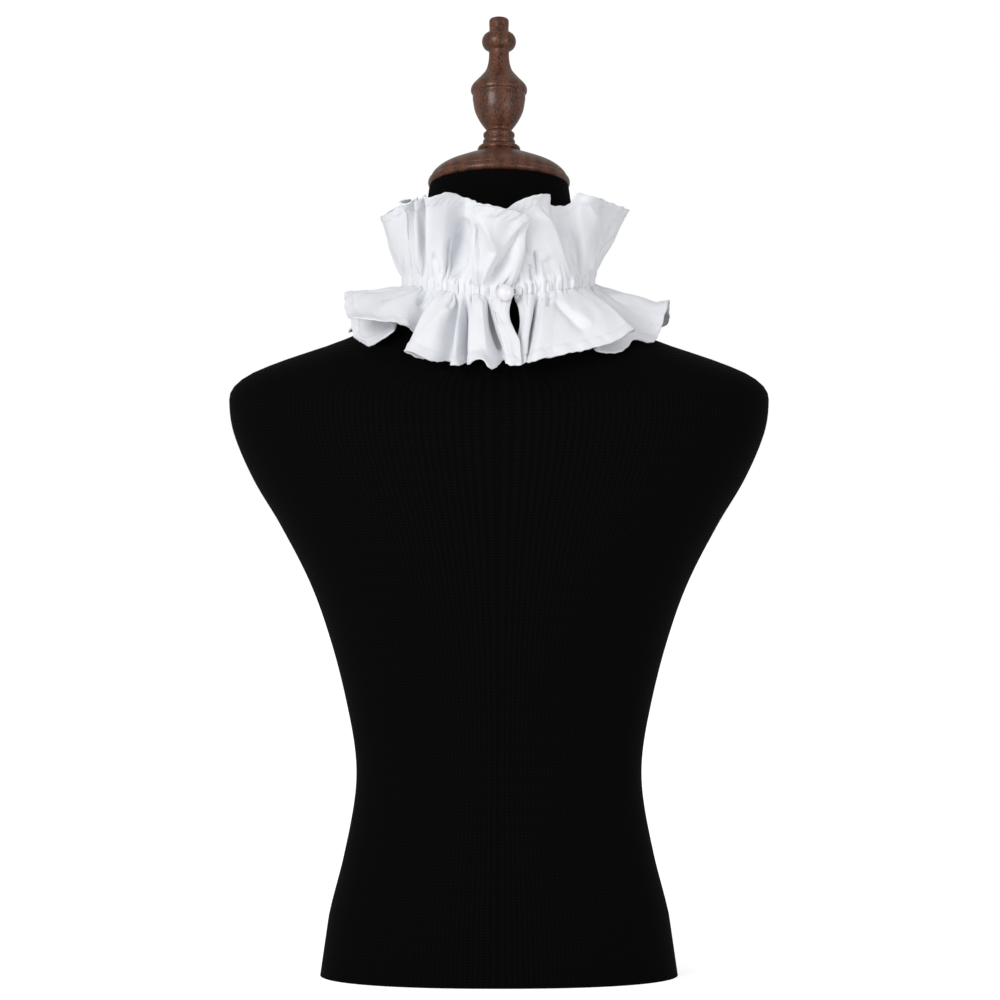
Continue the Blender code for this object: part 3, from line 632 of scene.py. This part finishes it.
def hem_line(folds):
    """Close samples along a frill's hem, from the strip's left end to its right end."""
    samples = smooth_curve([polar(f.angle, f.reach, f.height) for f in folds], HEM_STEPS)
    point = np.array([tuple(p) for _, _, p in samples])
    place = np.array([i + share for i, share, _ in samples])
    length = np.concatenate(([0.0], np.cumsum(np.linalg.norm(np.diff(point, axis=0), axis=1))))
    root, belly, sway = (np.interp(place, np.arange(len(folds)), [getattr(f, name) for f in folds])
                         for name in ("root", "belly", "sway"))
    return Line(root, length, point, belly, sway)


def shared_roots(lines):
    """Angles on the gathering line where both frills have a column, spaced by the cloth they take up."""
    roots = np.linspace(lines[0].root[0], lines[0].root[-1], SAMPLES_PER_COLUMN * COLUMNS)
    spread = np.linspace(0.0, 1.0, len(roots))
    for line in lines:
        spread = spread + np.interp(-roots, -line.root, line.length) / line.length[-1]
    return np.interp(np.linspace(0.0, spread[-1], COLUMNS + 1), spread, roots)


class Frill:
    """One frill as a grid of points: rows from the gathering line to the hem, columns round the neck."""

    def __init__(self, line, roots, standing, creases, calm, curls):
        self.standing = standing
        self.root = roots
        self.flat, self.belly, self.sway = (np.interp(-roots, -line.root, values)
                                            for values in (line.length, line.belly, line.sway))
        self.hem = np.stack([np.interp(-roots, -line.root, line.point[:, i]) for i in range(3)], axis=-1)
        side = 1.0 if standing else -1.0
        self.start = ring_points(roots, 0.0, side * ROOT_RISE)
        self.width = float(np.mean(np.linalg.norm(self.hem - self.start, axis=1)))
        self.hem_share = 1.0 - settings("cotton").hem / self.width
        cloth_rows = np.linspace(0.0, 1.0, CLOTH_ROWS) ** CLOTH_ROW_POWER * (self.hem_share - HEM_FOLD)
        hem_rows = self.hem_share + np.array(HEM_ROWS) * (1.0 - self.hem_share)
        shares = np.concatenate((cloth_rows, hem_rows))
        waist = np.array(WAIST_ROWS) * ROOT_RISE
        base = np.stack([ring_points(roots, 0.0, side * up) for up in waist]
                        + [self.row(t) for t in shares])
        self.share = np.concatenate((np.zeros(len(waist)), shares))
        self.depth = np.concatenate((waist, ROOT_RISE + shares * self.width))
        normal = self.normals(base)
        turn = np.radians(roots)
        normal[0] = np.stack((np.sin(turn), -np.cos(turn), np.zeros(len(turn))), axis=-1)
        rise = limit((self.depth - WAIST_FLAT) / WAIST_FADE)[:, None]
        relief = self.gathers(calm) + rise * (self.creases(creases) + self.ripples() + self.curls(curls))
        self.points = base + normal * relief[..., None]
        self.roughen_edge()
        if not standing:
            floor = form_top(self.points[..., 0], self.points[..., 1]) + CLEARANCE
            self.points[..., 2] = np.maximum(self.points[..., 2], floor)
        self.normal = self.normals(self.points)

    def row(self, t):
        """Row at a share of the way to the hem, as in the solids."""
        start, hem = self.start, self.hem
        span = np.linalg.norm(hem - start, axis=1)[:, None]
        upright = np.array((0.0, 0.0, 1.0 if self.standing else -1.0))
        bend = np.exp(-ROOT_BEND_FADE * t * span / ROOT_BEND)
        point = lerp(start, hem, t) + (upright - (hem - start) / span) * t * span * bend
        outward = unit(outwards(point))
        sideways = np.stack((-outward[:, 1], outward[:, 0], np.zeros(len(point))), axis=-1)
        face = outward if self.standing else outward * FALLING_OUT + np.array((0.0, 0.0, FALLING_UP))
        point = point + face * (self.belly * math.sin(math.pi * t ** BELLY_POWER))[:, None]
        return point + sideways * (self.sway * math.sin(math.pi * min(1.0, t / SWAY_END)))[:, None]

    def normals(self, points):
        """Unit normals of the grid: away from the neck, and up as well on the falling frill."""
        normal = unit(np.cross(np.gradient(points, axis=1), np.gradient(points, axis=0)))
        outward = outwards(points)
        if not self.standing:
            outward[..., 2] = FALLING_LIFT
        return -normal if np.sum(normal * outward) < 0 else normal

    def gathers(self, calm):
        """Uneven tucks at the gathering line that wander and merge into wider folds on their way out."""
        cotton = settings("cotton")
        lively = np.interp(-self.root, [-c.root for c in calm], [c.reach for c in calm])
        turns = (LEFT_END - self.root) / (LEFT_END - RIGHT_END) * cotton.gathers
        depth = np.maximum(self.depth - WAIST_FLAT, 0.0)[:, None]
        phase = turns + 0.35 * np.sin(0.7 * turns) + 0.22 * np.sin(1.9 * turns + 1.0)
        phase = phase + 0.16 * np.sin(depth / 6.0 + 2.6 * turns) * limit(depth / 6.0)
        relief = 0.0
        for tucks, size, start, reach, power in GATHER_WAVES:
            wave = phase / tucks + 0.3 * np.sin(turns / tucks)
            ridge = 2.0 * np.abs(np.sin(math.pi * wave)) ** 0.7 - 1.2
            uneven = (0.8 + 0.3 * np.sin(0.83 * turns / tucks + start)
                      + 0.2 * np.sin(2.17 * turns / tucks + 2.0))
            far = reach * lively * (0.8 + 0.4 * np.sin(1.31 * turns / tucks + 0.5 + start))
            rise = limit((depth + 0.1) / (start + 0.1))
            relief = relief + size * uneven * ridge * rise * np.exp(-(depth / far) ** power)
        return cotton.gather_depth * relief

    def creases(self, table):
        """Listed creases, as ridges and troughs along broken lines in the cloth."""
        flat = np.broadcast_to(self.flat, (len(self.depth), len(self.flat)))
        depth = np.broadcast_to(self.depth[:, None], flat.shape)
        relief = np.zeros(flat.shape)
        for crease in table:
            path = [np.array((np.interp(-root, -self.root, self.flat), ROOT_RISE + share * self.width))
                    for root, share in crease.path]
            total = sum(np.linalg.norm(b - a) for a, b in zip(path, path[1:]))
            nearest = np.full(flat.shape, 1e9)
            travel = np.zeros(flat.shape)
            before = 0.0
            for a, b in zip(path, path[1:]):
                length = float(np.linalg.norm(b - a))
                along = (b - a) / length
                dx, dy = flat - a[0], depth - a[1]
                run = np.clip(dx * along[0] + dy * along[1], 0.0, length)
                away = np.hypot(dx - run * along[0], dy - run * along[1])
                closer = away < nearest
                nearest = np.where(closer, away, nearest)
                travel = np.where(closer, (before + run) / total, travel)
                before += length
            fade = limit((1.0 - np.abs(2.0 * travel - 1.0)) / CREASE_FADE)
            relief += (CREASE_PRESS * crease.depth * np.exp(-(nearest / crease.width) ** CREASE_EDGE)
                       * fade * (2.0 - fade))
        return relief

    def ripples(self):
        """Unevenness of handled cloth, and the puckers and the groove of the hem's stitches."""
        x, y = self.flat[None, :], self.depth[:, None]
        soft = 0.34 * np.sin(x / 9.0 + 2.2 * np.sin(y / 17.0)) * np.sin(y / 13.0 + 1.5 * np.sin(x / 23.0))
        soft += 0.16 * np.sin(x / 4.1 + 1.7 * np.sin(x / 31.0) + y / 11.0) * np.sin(y / 7.0 + x / 29.0)
        streak = x / 5.6 + 0.9 * np.sin(x / 21.0) + 0.3 * np.sin(y / 19.0 + x / 17.0)
        lively = 0.55 + 0.45 * np.sin(x / 29.0 + 1.0)
        soft += 0.75 * lively * (np.abs(np.sin(streak)) ** 0.6 - 0.75) * limit(1.3 - self.share[:, None])
        at_hem = limit((self.share[:, None] - self.hem_share + 0.05) / 0.07)
        drag = x + 0.8 * (y - y[-1])
        pull = 0.3 * np.sin(drag / 0.95 + 1.4 * np.sin(x / 7.0)) * (0.6 + 0.4 * np.sin(x / 19.0))
        pull += 0.4 * np.sin(drag / 2.3 + 1.9 * np.sin(x / 13.0)) * limit(np.sin(x / 37.0) + 0.7)
        stitches = ROOT_RISE + self.hem_share * self.width
        groove = -0.28 * np.exp(-((y - stitches) / 0.9) ** 2)
        return soft * limit(y / 12.0) + pull * at_hem + groove

    def curls(self, table):
        """Hem rolled out of the cloth's face in places."""
        rise = limit((self.share - CURL_START) / (1.0 - CURL_START))[:, None] ** 2
        relief = np.zeros((len(self.share), len(self.flat)))
        for curl in table:
            middle = np.interp(-curl.root, -self.root, self.flat)
            relief += curl.lift * rise * np.exp(-((self.flat[None, :] - middle) / curl.width) ** 2)
        return relief

    def roughen_edge(self):
        """Hem edge a little in and out along its length, as a hand-turned hem is."""
        x = self.flat[None, :, None]
        rise = limit((self.share - self.hem_share) / (1.0 - self.hem_share))[:, None, None]
        wobble = (0.26 * np.sin(x / 2.9 + 1.7 * np.sin(x / 13.0))
                  + 0.28 * np.sin(x / 1.3 + 2.1 * np.sin(x / 8.0)))
        self.points = self.points + unit(np.gradient(self.points, axis=0)) * wobble * rise

    def place(self, flat, share):
        """Point and normal at a flat length and a share of the way to the hem."""
        column = float(np.interp(flat, self.flat, np.arange(len(self.flat))))
        first = len(WAIST_ROWS)
        row = float(np.interp(share, self.share[first:], np.arange(first, len(self.share))))
        i, j = min(int(row), len(self.share) - 2), min(int(column), len(self.flat) - 2)

        def blend(grid):
            near, far = (lerp(grid[k, j], grid[k, j + 1], column - j) for k in (i, i + 1))
            return Vector(lerp(near, far, row - i))

        return blend(self.points), blend(self.normal).normalized()


def world(points):
    """Table places in millimetres as places in the frame, in metres."""
    return (np.asarray(points) + np.array((0.0, NECK_SHIFT, 0.0))) * MM


def finish_piece(name, data, finish, replaced=()):
    """Links a mesh or a curve as a piece that rides on the body and stands for its nodes."""
    data.materials.append(finish)
    made = bpy.data.objects.new(name, data)
    bpy.context.scene.collection.objects.link(made)
    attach(made, BODY)
    if replaced:
        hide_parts(*replaced)
    return made


def mesh_from(bm, name):
    """Smoothly shaded mesh of a bmesh, which is freed."""
    mesh = bpy.data.meshes.new(name)
    bm.to_mesh(mesh)
    bm.free()
    mesh.shade_smooth()
    return mesh


def lay_uvs(bm, layer, places):
    """UV layer that gives each vertex a place, by its index."""
    uv = bm.loops.layers.uv.new(layer)
    for face in bm.faces:
        for loop in face.loops:
            loop[uv].uv = places[loop.vert.index]


def spun(outline, steps):
    """Bmesh of an outline turned about the upright axis."""
    bm = bmesh.new()
    verts = [bm.verts.new(point) for point in outline]
    edges = [bm.edges.new(pair) for pair in zip(verts, verts[1:])]
    bmesh.ops.spin(bm, geom=verts + edges, cent=(0, 0, 0), axis=(0, 0, 1), angle=2 * math.pi,
                   steps=steps, use_merge=True)
    bmesh.ops.remove_doubles(bm, verts=bm.verts, dist=WELD)
    bmesh.ops.recalc_face_normals(bm, faces=bm.faces)
    return bm


def build_frill(name, frill, finish, replaced):
    """Thin cloth shell on a frill's points, thicker at its hem, with its cloth lengths as UVs."""
    rows, columns = frill.points.shape[:2]
    bm = bmesh.new()
    bmesh.ops.create_grid(bm, x_segments=columns - 1, y_segments=rows - 1, size=0.5)
    places = world(frill.points)
    spots = {}
    bm.verts.ensure_lookup_table()
    for vert in bm.verts:
        column = round((vert.co.x + 0.5) * (columns - 1))
        row = round((vert.co.y + 0.5) * (rows - 1))
        spots[vert.index] = (row, column)
        vert.co = places[row, column]
    lay_uvs(bm, "cloth", {index: (frill.flat[column] * MM, frill.depth[row] * MM)
                          for index, (row, column) in spots.items()})
    # The two frills meet at row 0: its edges are sharp, or else the turn of the cloth there shades dark.
    for edge in bm.edges:
        edge.smooth = any(spots[vert.index][0] > 0 for vert in edge.verts)
    bm.faces.ensure_lookup_table()
    probe = bm.faces[len(bm.faces) // 2]
    probe.normal_update()
    row, column = spots[probe.verts[0].index]
    if probe.normal.dot(Vector(frill.normal[row, column])) < 0:
        bmesh.ops.reverse_faces(bm, faces=bm.faces)
    made = finish_piece(name, mesh_from(bm, name), finish, replaced)
    hem = made.vertex_groups.new(name="hem")
    end_hem = settings("cotton").hem
    for index, (row, column) in spots.items():
        length = min(frill.flat[column], frill.flat[-1] - frill.flat[column])
        thick = frill.share[row] >= frill.hem_share or length < end_hem
        hem.add([index], 1.0 if thick else CLOTH_WALL / HEM_WALL, "REPLACE")
    wall = made.modifiers.new("cloth", "SOLIDIFY")
    wall.thickness = HEM_WALL * MM
    wall.offset = 0.0
    wall.vertex_group = hem.name
    return made


def build_stitches(name, frill, finish):
    """Lockstitches along the hem and down both ends, on both faces, each a short capsule of thread."""
    cotton = settings("cotton")
    length = frill.flat[-1]
    across = [(flat, frill.hem_share + STITCH_INSET)
              for flat in np.arange(cotton.hem, length - cotton.hem, cotton.stitch)]
    down = np.arange(STITCH_TOP, frill.hem_share, cotton.stitch / frill.width)
    ends = (cotton.hem - END_STITCHES, length - cotton.hem + END_STITCHES)
    rows = [across] + [[(flat, share) for share in down] for flat in ends]
    spots = [pair for row in rows for pair in zip(row, row[1:])]
    whole = bmesh.new()
    for group in range(0, len(spots), STITCH_GROUP):
        bm = bmesh.new()
        for before, after in spots[group:group + STITCH_GROUP]:
            start, normal = frill.place(*before)
            end = frill.place(*after)[0]
            ahead = (end - start).normalized()
            side = normal.cross(ahead).normalized()
            turn = Matrix((ahead, side, ahead.cross(side))).transposed().to_4x4()
            size = Matrix.Diagonal((STITCH_REACH * (end - start).length, THREAD / 2, THREAD / 2, 1.0))
            for face in (1.0, -1.0):
                spot = world((start + end) / 2 + normal * face * (HEM_WALL / 2 - THREAD * STITCH_SINK))
                bmesh.ops.create_icosphere(bm, subdivisions=1, radius=1.0,
                                           matrix=Matrix.Translation(spot) @ turn
                                           @ Matrix.Scale(MM, 4) @ size)
        part = mesh_from(bm, name)
        whole.from_mesh(part)
        bpy.data.meshes.remove(part)
    return finish_piece(name, mesh_from(whole, name), finish)


def section_at(height):
    """Half width, centre, half depth, roundness and tilt of the form, smoothed between its sections."""
    heights = [s.height for s in FORM_SECTIONS]
    spot = max(1, min(len(heights) - 3, int(np.searchsorted(heights, height)) - 1))
    rows = np.array(FORM_SECTIONS[spot - 1:spot + 3], float)
    x, y = rows[:, 0], rows[:, 1:]
    if height < x[1]:
        values = lerp(y[0], y[1], (height - x[0]) / (x[1] - x[0]))
    elif height > x[2]:
        values = lerp(y[2], y[3], (height - x[2]) / (x[3] - x[2]))
    else:
        slope_a, slope_b = (y[2] - y[0]) / (x[2] - x[0]), (y[3] - y[1]) / (x[3] - x[1])
        span = x[2] - x[1]
        u = (height - x[1]) / span
        values = (y[1] * (1 + 2 * u) * (1 - u) ** 2 + slope_a * span * u * (1 - u) ** 2
                  + y[2] * u * u * (3 - 2 * u) + slope_b * span * u * u * (u - 1))
    half_width, back, front, roundness, tilt = values
    return half_width, (back + front) / 2, (front - back) / 2, roundness, tilt


def build_torso(finish):
    """Jersey-covered torso and neck, with distances round and up it as UVs."""
    bm = bmesh.new()
    bmesh.ops.create_grid(bm, x_segments=TORSO_AROUND, y_segments=TORSO_UP, size=0.5)
    spots = {}
    top = FORM_SECTIONS[-1].height
    bm.verts.ensure_lookup_table()
    for vert in bm.verts:
        turn = 2 * math.pi * (vert.co.x + 0.5)
        height = top * (vert.co.y + 0.5)
        half_width, centre, half_depth, roundness, tilt = section_at(height)
        power = 2 / roundness
        side, along = math.sin(turn), -math.cos(turn)
        x = half_width * math.copysign(abs(side) ** power, side)
        y = half_depth * math.copysign(abs(along) ** power, along)
        spots[vert.index] = (turn * TORSO_GIRTH_RADIUS * MM, height * MM)
        vert.co = world((x, centre + y, height - math.tan(math.radians(tilt)) * y))
    lay_uvs(bm, "knit", spots)
    bmesh.ops.remove_doubles(bm, verts=bm.verts, dist=TORSO_WELD * MM)
    rims = [e for e in bm.edges if e.is_boundary]
    bmesh.ops.holes_fill(bm, edges=rims, sides=0)
    bmesh.ops.recalc_face_normals(bm, faces=bm.faces)
    made = finish_piece("jersey_torso", mesh_from(bm, "jersey_torso"), finish,
                        ["form_torso"])
    made.data.set_sharp_from_angle(angle=math.radians(50))
    return made


def build_turning(name, outline, node, finish):
    """Turned piece: its outline, smoothed, spun about the neck's tilted axis."""
    points = [Vector((r.radius, 0.0, r.height)) for r in outline]
    smooth = [point for _, _, point in smooth_curve(points, TURNING_SMOOTH)]
    smooth = [Vector((0.0, 0.0, smooth[0].z))] + smooth + [Vector((0.0, 0.0, smooth[-1].z))]
    bm = spun(smooth, TURNING_STEPS)
    top = FORM_SECTIONS[-1]
    seat = Vector((0.0, (top.back + top.front) / 2 + NECK_SHIFT, top.height + SEAT_GAP)) * MM
    tilt = Matrix.Rotation(math.radians(-NECK_TILT), 4, "X")
    bmesh.ops.transform(bm, matrix=Matrix.Translation(seat) @ tilt @ Matrix.Scale(MM, 4), verts=bm.verts)
    made = finish_piece(name, mesh_from(bm, name), finish, [node])
    made.data.set_sharp_from_angle(angle=math.radians(40))
    return made


def button_place():
    """Turned place of the button on the gathering line, in millimetres: local Z points out."""
    seat = Vector(ring_points(np.array([BUTTON_ANGLE]), BUTTON_OUT, -BUTTON_DROP)[0])
    turn = Matrix.Rotation(math.radians(BUTTON_ANGLE), 4, "Z") @ Matrix.Rotation(math.radians(90), 4, "X")
    return Matrix.Translation(seat) @ turn


def build_button(finish):
    """Pearl bead with a low shoulder behind it, on its shank."""
    fastener = settings("fastener")
    radius, half = fastener.radius, fastener.radius * fastener.depth
    centre = SHANK_LENGTH + half - BEAD_SINK
    outline = [(0.0, SHANK_FOOT), (SHANK_RADIUS - 0.2, SHANK_FOOT), (SHANK_RADIUS, 2 * SHANK_FOOT),
               (SHANK_RADIUS, centre - half * 0.94)]
    for i in range(1, BEAD_STEPS + 1):
        turn = math.radians(lerp(BEAD_START, 90.0, i / BEAD_STEPS))
        outline.append((radius * math.cos(turn), centre + half * math.sin(turn)))
    bm = spun([(out, 0.0, up) for out, up in outline], BEAD_AROUND)
    for vert in bm.verts:
        sag = BUTTON_SAG * min(1.0, max(0.0, vert.co.z / SHANK_LENGTH))
        vert.co = world(button_place() @ (vert.co - Vector((0.0, sag, 0.0))))
    made = finish_piece("pearl_bead", mesh_from(bm, "pearl_bead"), finish, ["pearl_button"])
    made.data.set_sharp_from_angle(angle=math.radians(60))
    return made


def build_loop(finish):
    """Two-ply loop round the shank, its tails bound to the right end with a few turns of thread."""
    cord = settings("fastener").cord
    reach = math.radians(RIGHT_END + 360 - BUTTON_ANGLE) * RING_HALF_DEPTH + TAIL_PAST
    tail = [(reach, LOOP_SPREAD), (reach * LOOP_SWELL_PLACE, LOOP_SPREAD * LOOP_SWELL)]
    turns = [math.radians(60 + 30 * i) for i in range(9)]
    route = tail + [(LOOP_RADIUS * math.cos(turn), LOOP_RADIUS * math.sin(turn)) for turn in turns]
    route += [(x, -y) for x, y in reversed(tail)]

    def lifted(x, y):
        up = lerp(SHANK_LENGTH * LOOP_LIFT, cord / 2, max(0.0, x - LOOP_RADIUS) / (reach - LOOP_RADIUS))
        return Vector((x, y, up - x * x / (2 * RING_HALF_DEPTH)))

    path = [point for _, _, point in smooth_curve([lifted(x, y) for x, y in route], LOOP_STEPS)]
    strands = [twisted(path, cord / 4, phase) for phase in (0.0, math.pi)]
    middle = reach - BINDING_BACK
    binding = []
    for i in range(BINDING_TURNS * BINDING_STEPS + 1):
        turn = 2 * math.pi * i / BINDING_STEPS
        up = lifted(middle, 0.0).z + (cord * BINDING_WIDE) * math.sin(turn)
        wide = (LOOP_SPREAD + cord * BINDING_WIDE) * (1.0 + 0.12 * math.sin(0.19 * i))
        along = middle + BINDING_PITCH * cord * i / BINDING_STEPS
        binding.append(Vector((along, wide * math.cos(turn), up)))
    line = bpy.data.curves.new("twisted_button_loop", "CURVE")
    line.dimensions = "3D"
    line.bevel_depth = cord * PLY_RADIUS * MM
    line.bevel_resolution = 2
    line.use_fill_caps = True
    for points in strands + [binding]:
        spline = line.splines.new("POLY")
        spline.points.add(len(points) - 1)
        for spot, point in zip(spline.points, points):
            spot.co = (*world(button_place() @ point), 1.0)
    return finish_piece("twisted_button_loop", line, finish, ["button_loop"])


def twisted(path, radius, phase):
    """One ply that winds round a path."""
    points = []
    travelled = 0.0
    for before, here, after in zip(path[:1] + path, path, path[1:] + path[-1:]):
        travelled += (here - before).length
        ahead = (after - before).normalized()
        side = ahead.cross(Vector((0.0, 0.0, 1.0))).normalized()
        turn = phase + 2 * math.pi * travelled / TWIST
        points.append(here + (side * math.cos(turn) + side.cross(ahead) * math.sin(turn)) * radius)
    return points


# Operators

class COLLAR_OT_frills(bpy.types.Operator):
    """Make the standing and the falling frill of one gathered cotton strip"""
    bl_idname = "collar.frills"
    bl_label = "Cotton Frills"

    def execute(self, context):
        cotton = cotton_material()
        thread = thread_material()
        lines = [hem_line(standing_folds()), hem_line(falling_folds())]
        roots = shared_roots(lines)
        kinds = (("standing_frill", True, STANDING_CREASES, STANDING_CALM, STANDING_CURLS),
                 ("falling_frill", False, FALLING_CREASES, FALLING_CALM, FALLING_CURLS))
        for line, (node, standing, creases, calm, curls) in zip(lines, kinds):
            frill = Frill(line, roots, standing, creases, calm, curls)
            made = build_frill("cotton_" + node, frill, cotton, [node, "gather_band"])
            build_stitches("hem_stitches_" + node, frill, thread)
        return {"FINISHED"}


class COLLAR_OT_form(bpy.types.Operator):
    """Make the jersey-covered torso"""
    bl_idname = "collar.form"
    bl_label = "Jersey Torso"

    def execute(self, context):
        """Build the torso."""
        build_torso(jersey_material())
        return {"FINISHED"}


class COLLAR_OT_wood(bpy.types.Operator):
    """Make the turned cap and finial"""
    bl_idname = "collar.wood"
    bl_label = "Turned Wood"

    def execute(self, context):
        """Build both turned pieces."""
        walnut = wood_material()
        build_turning("turned_neck_cap", CAP_OUTLINE, "neck_cap", walnut)
        build_turning("turned_finial", FINIAL_OUTLINE, "finial", walnut)
        return {"FINISHED"}


class COLLAR_OT_fastening(bpy.types.Operator):
    """Make the pearl button and its loop"""
    bl_idname = "collar.fastening"
    bl_label = "Button and Loop"

    def execute(self, context):
        """Build the button and the loop."""
        build_button(pearl_material())
        build_loop(bpy.data.materials["mercerised_cotton_thread"])
        return {"FINISHED"}


class COLLAR_OT_stage(bpy.types.Operator):
    """Make the white floor, the lights and the camera"""
    bl_idname = "collar.stage"
    bl_label = "White Studio"

    def execute(self, context):
        """Build the floor, the surroundings, both lamps and the camera."""
        stage = settings("stage")
        scene = context.scene
        bm = bmesh.new()
        bmesh.ops.create_circle(bm, cap_ends=True, segments=96, radius=FLOOR_RADIUS)
        floor = bpy.data.objects.new("floor", mesh_from(bm, "floor"))
        floor.data.materials.append(paper_material())
        scene.collection.objects.link(floor)

        surround = bpy.data.worlds.new("white_surround")
        surround.use_nodes = True
        tree = surround.node_tree
        path = add(tree, "ShaderNodeLightPath")
        seen = add(tree, "ShaderNodeMapRange", {"Value": path.outputs["Is Camera Ray"]},
                   to_min=stage.fill, to_max=1.0)
        fill(tree.nodes["Background"], {"Strength": seen.outputs["Result"]}, Color=(1.0, 1.0, 1.0, 1.0))
        scene.world = surround

        for lamp, power in zip(LAMPS, (stage.key, stage.low)):
            light = bpy.data.lights.new(lamp.name, "AREA")
            light.shape = "DISK"
            light.size = lamp.size
            light.energy = power
            made = bpy.data.objects.new(lamp.name, light)
            made.location = lamp.place
            aim = Vector(lamp.aim) - made.location
            made.rotation_euler = aim.to_track_quat("-Z", "Y").to_euler()
            scene.collection.objects.link(made)

        lens = bpy.data.cameras.new("photo_view")
        lens.lens = CAMERA_LENS
        lens.sensor_width = CAMERA_SENSOR
        lens.clip_end = CAMERA_REACH
        camera = bpy.data.objects.new("photo_view", lens)
        camera.location = CAMERA_PLACE
        camera.rotation_euler = (math.radians(90), 0.0, 0.0)
        scene.collection.objects.link(camera)
        scene.camera = camera
        scene.view_settings.view_transform = "Standard"
        return {"FINISHED"}


class COLLAR_PT_panel(bpy.types.Panel):
    """Collar tools in the 3D view's sidebar"""
    bl_idname = "COLLAR_PT_panel"
    bl_label = "Ruffled Collar"
    bl_space_type = "VIEW_3D"
    bl_region_type = "UI"
    bl_category = "Collar"

    def draw(self, context):
        """List each group's settings and its button."""
        for name, operator in (("cotton", "collar.frills"), ("fastener", "collar.fastening"),
                               ("form", "collar.form"), ("wood", "collar.wood"),
                               ("stage", "collar.stage")):
            box = self.layout.box()
            group = settings(name)
            for prop in group.bl_rna.properties:
                if prop.identifier not in ("rna_type", "name"):
                    box.prop(group, prop.identifier)
            box.operator(operator)


GROUPS = (("cotton", CottonSettings), ("fastener", FastenerSettings), ("form", FormSettings),
          ("wood", WoodSettings), ("stage", StageSettings))
CLASSES = [group for _, group in GROUPS] + [
    COLLAR_OT_frills, COLLAR_OT_form, COLLAR_OT_wood, COLLAR_OT_fastening, COLLAR_OT_stage,
    COLLAR_PT_panel,
]


def register():
    """Register the classes and put the settings on the scene."""
    for cls in CLASSES:
        bpy.utils.register_class(cls)
    for name, group in GROUPS:
        setattr(bpy.types.Scene, "collar_" + name, PointerProperty(type=group))


def unregister():
    """Take the settings and the classes away again."""
    for name, _ in reversed(GROUPS):
        delattr(bpy.types.Scene, "collar_" + name)
    for cls in reversed(CLASSES):
        bpy.utils.unregister_class(cls)


def main():
    """Build every piece."""
    register()
    bpy.ops.collar.form()
    bpy.ops.collar.wood()
    bpy.ops.collar.frills()
    bpy.ops.collar.fastening()
    bpy.ops.collar.stage()


if __name__ == "__main__":
    main()
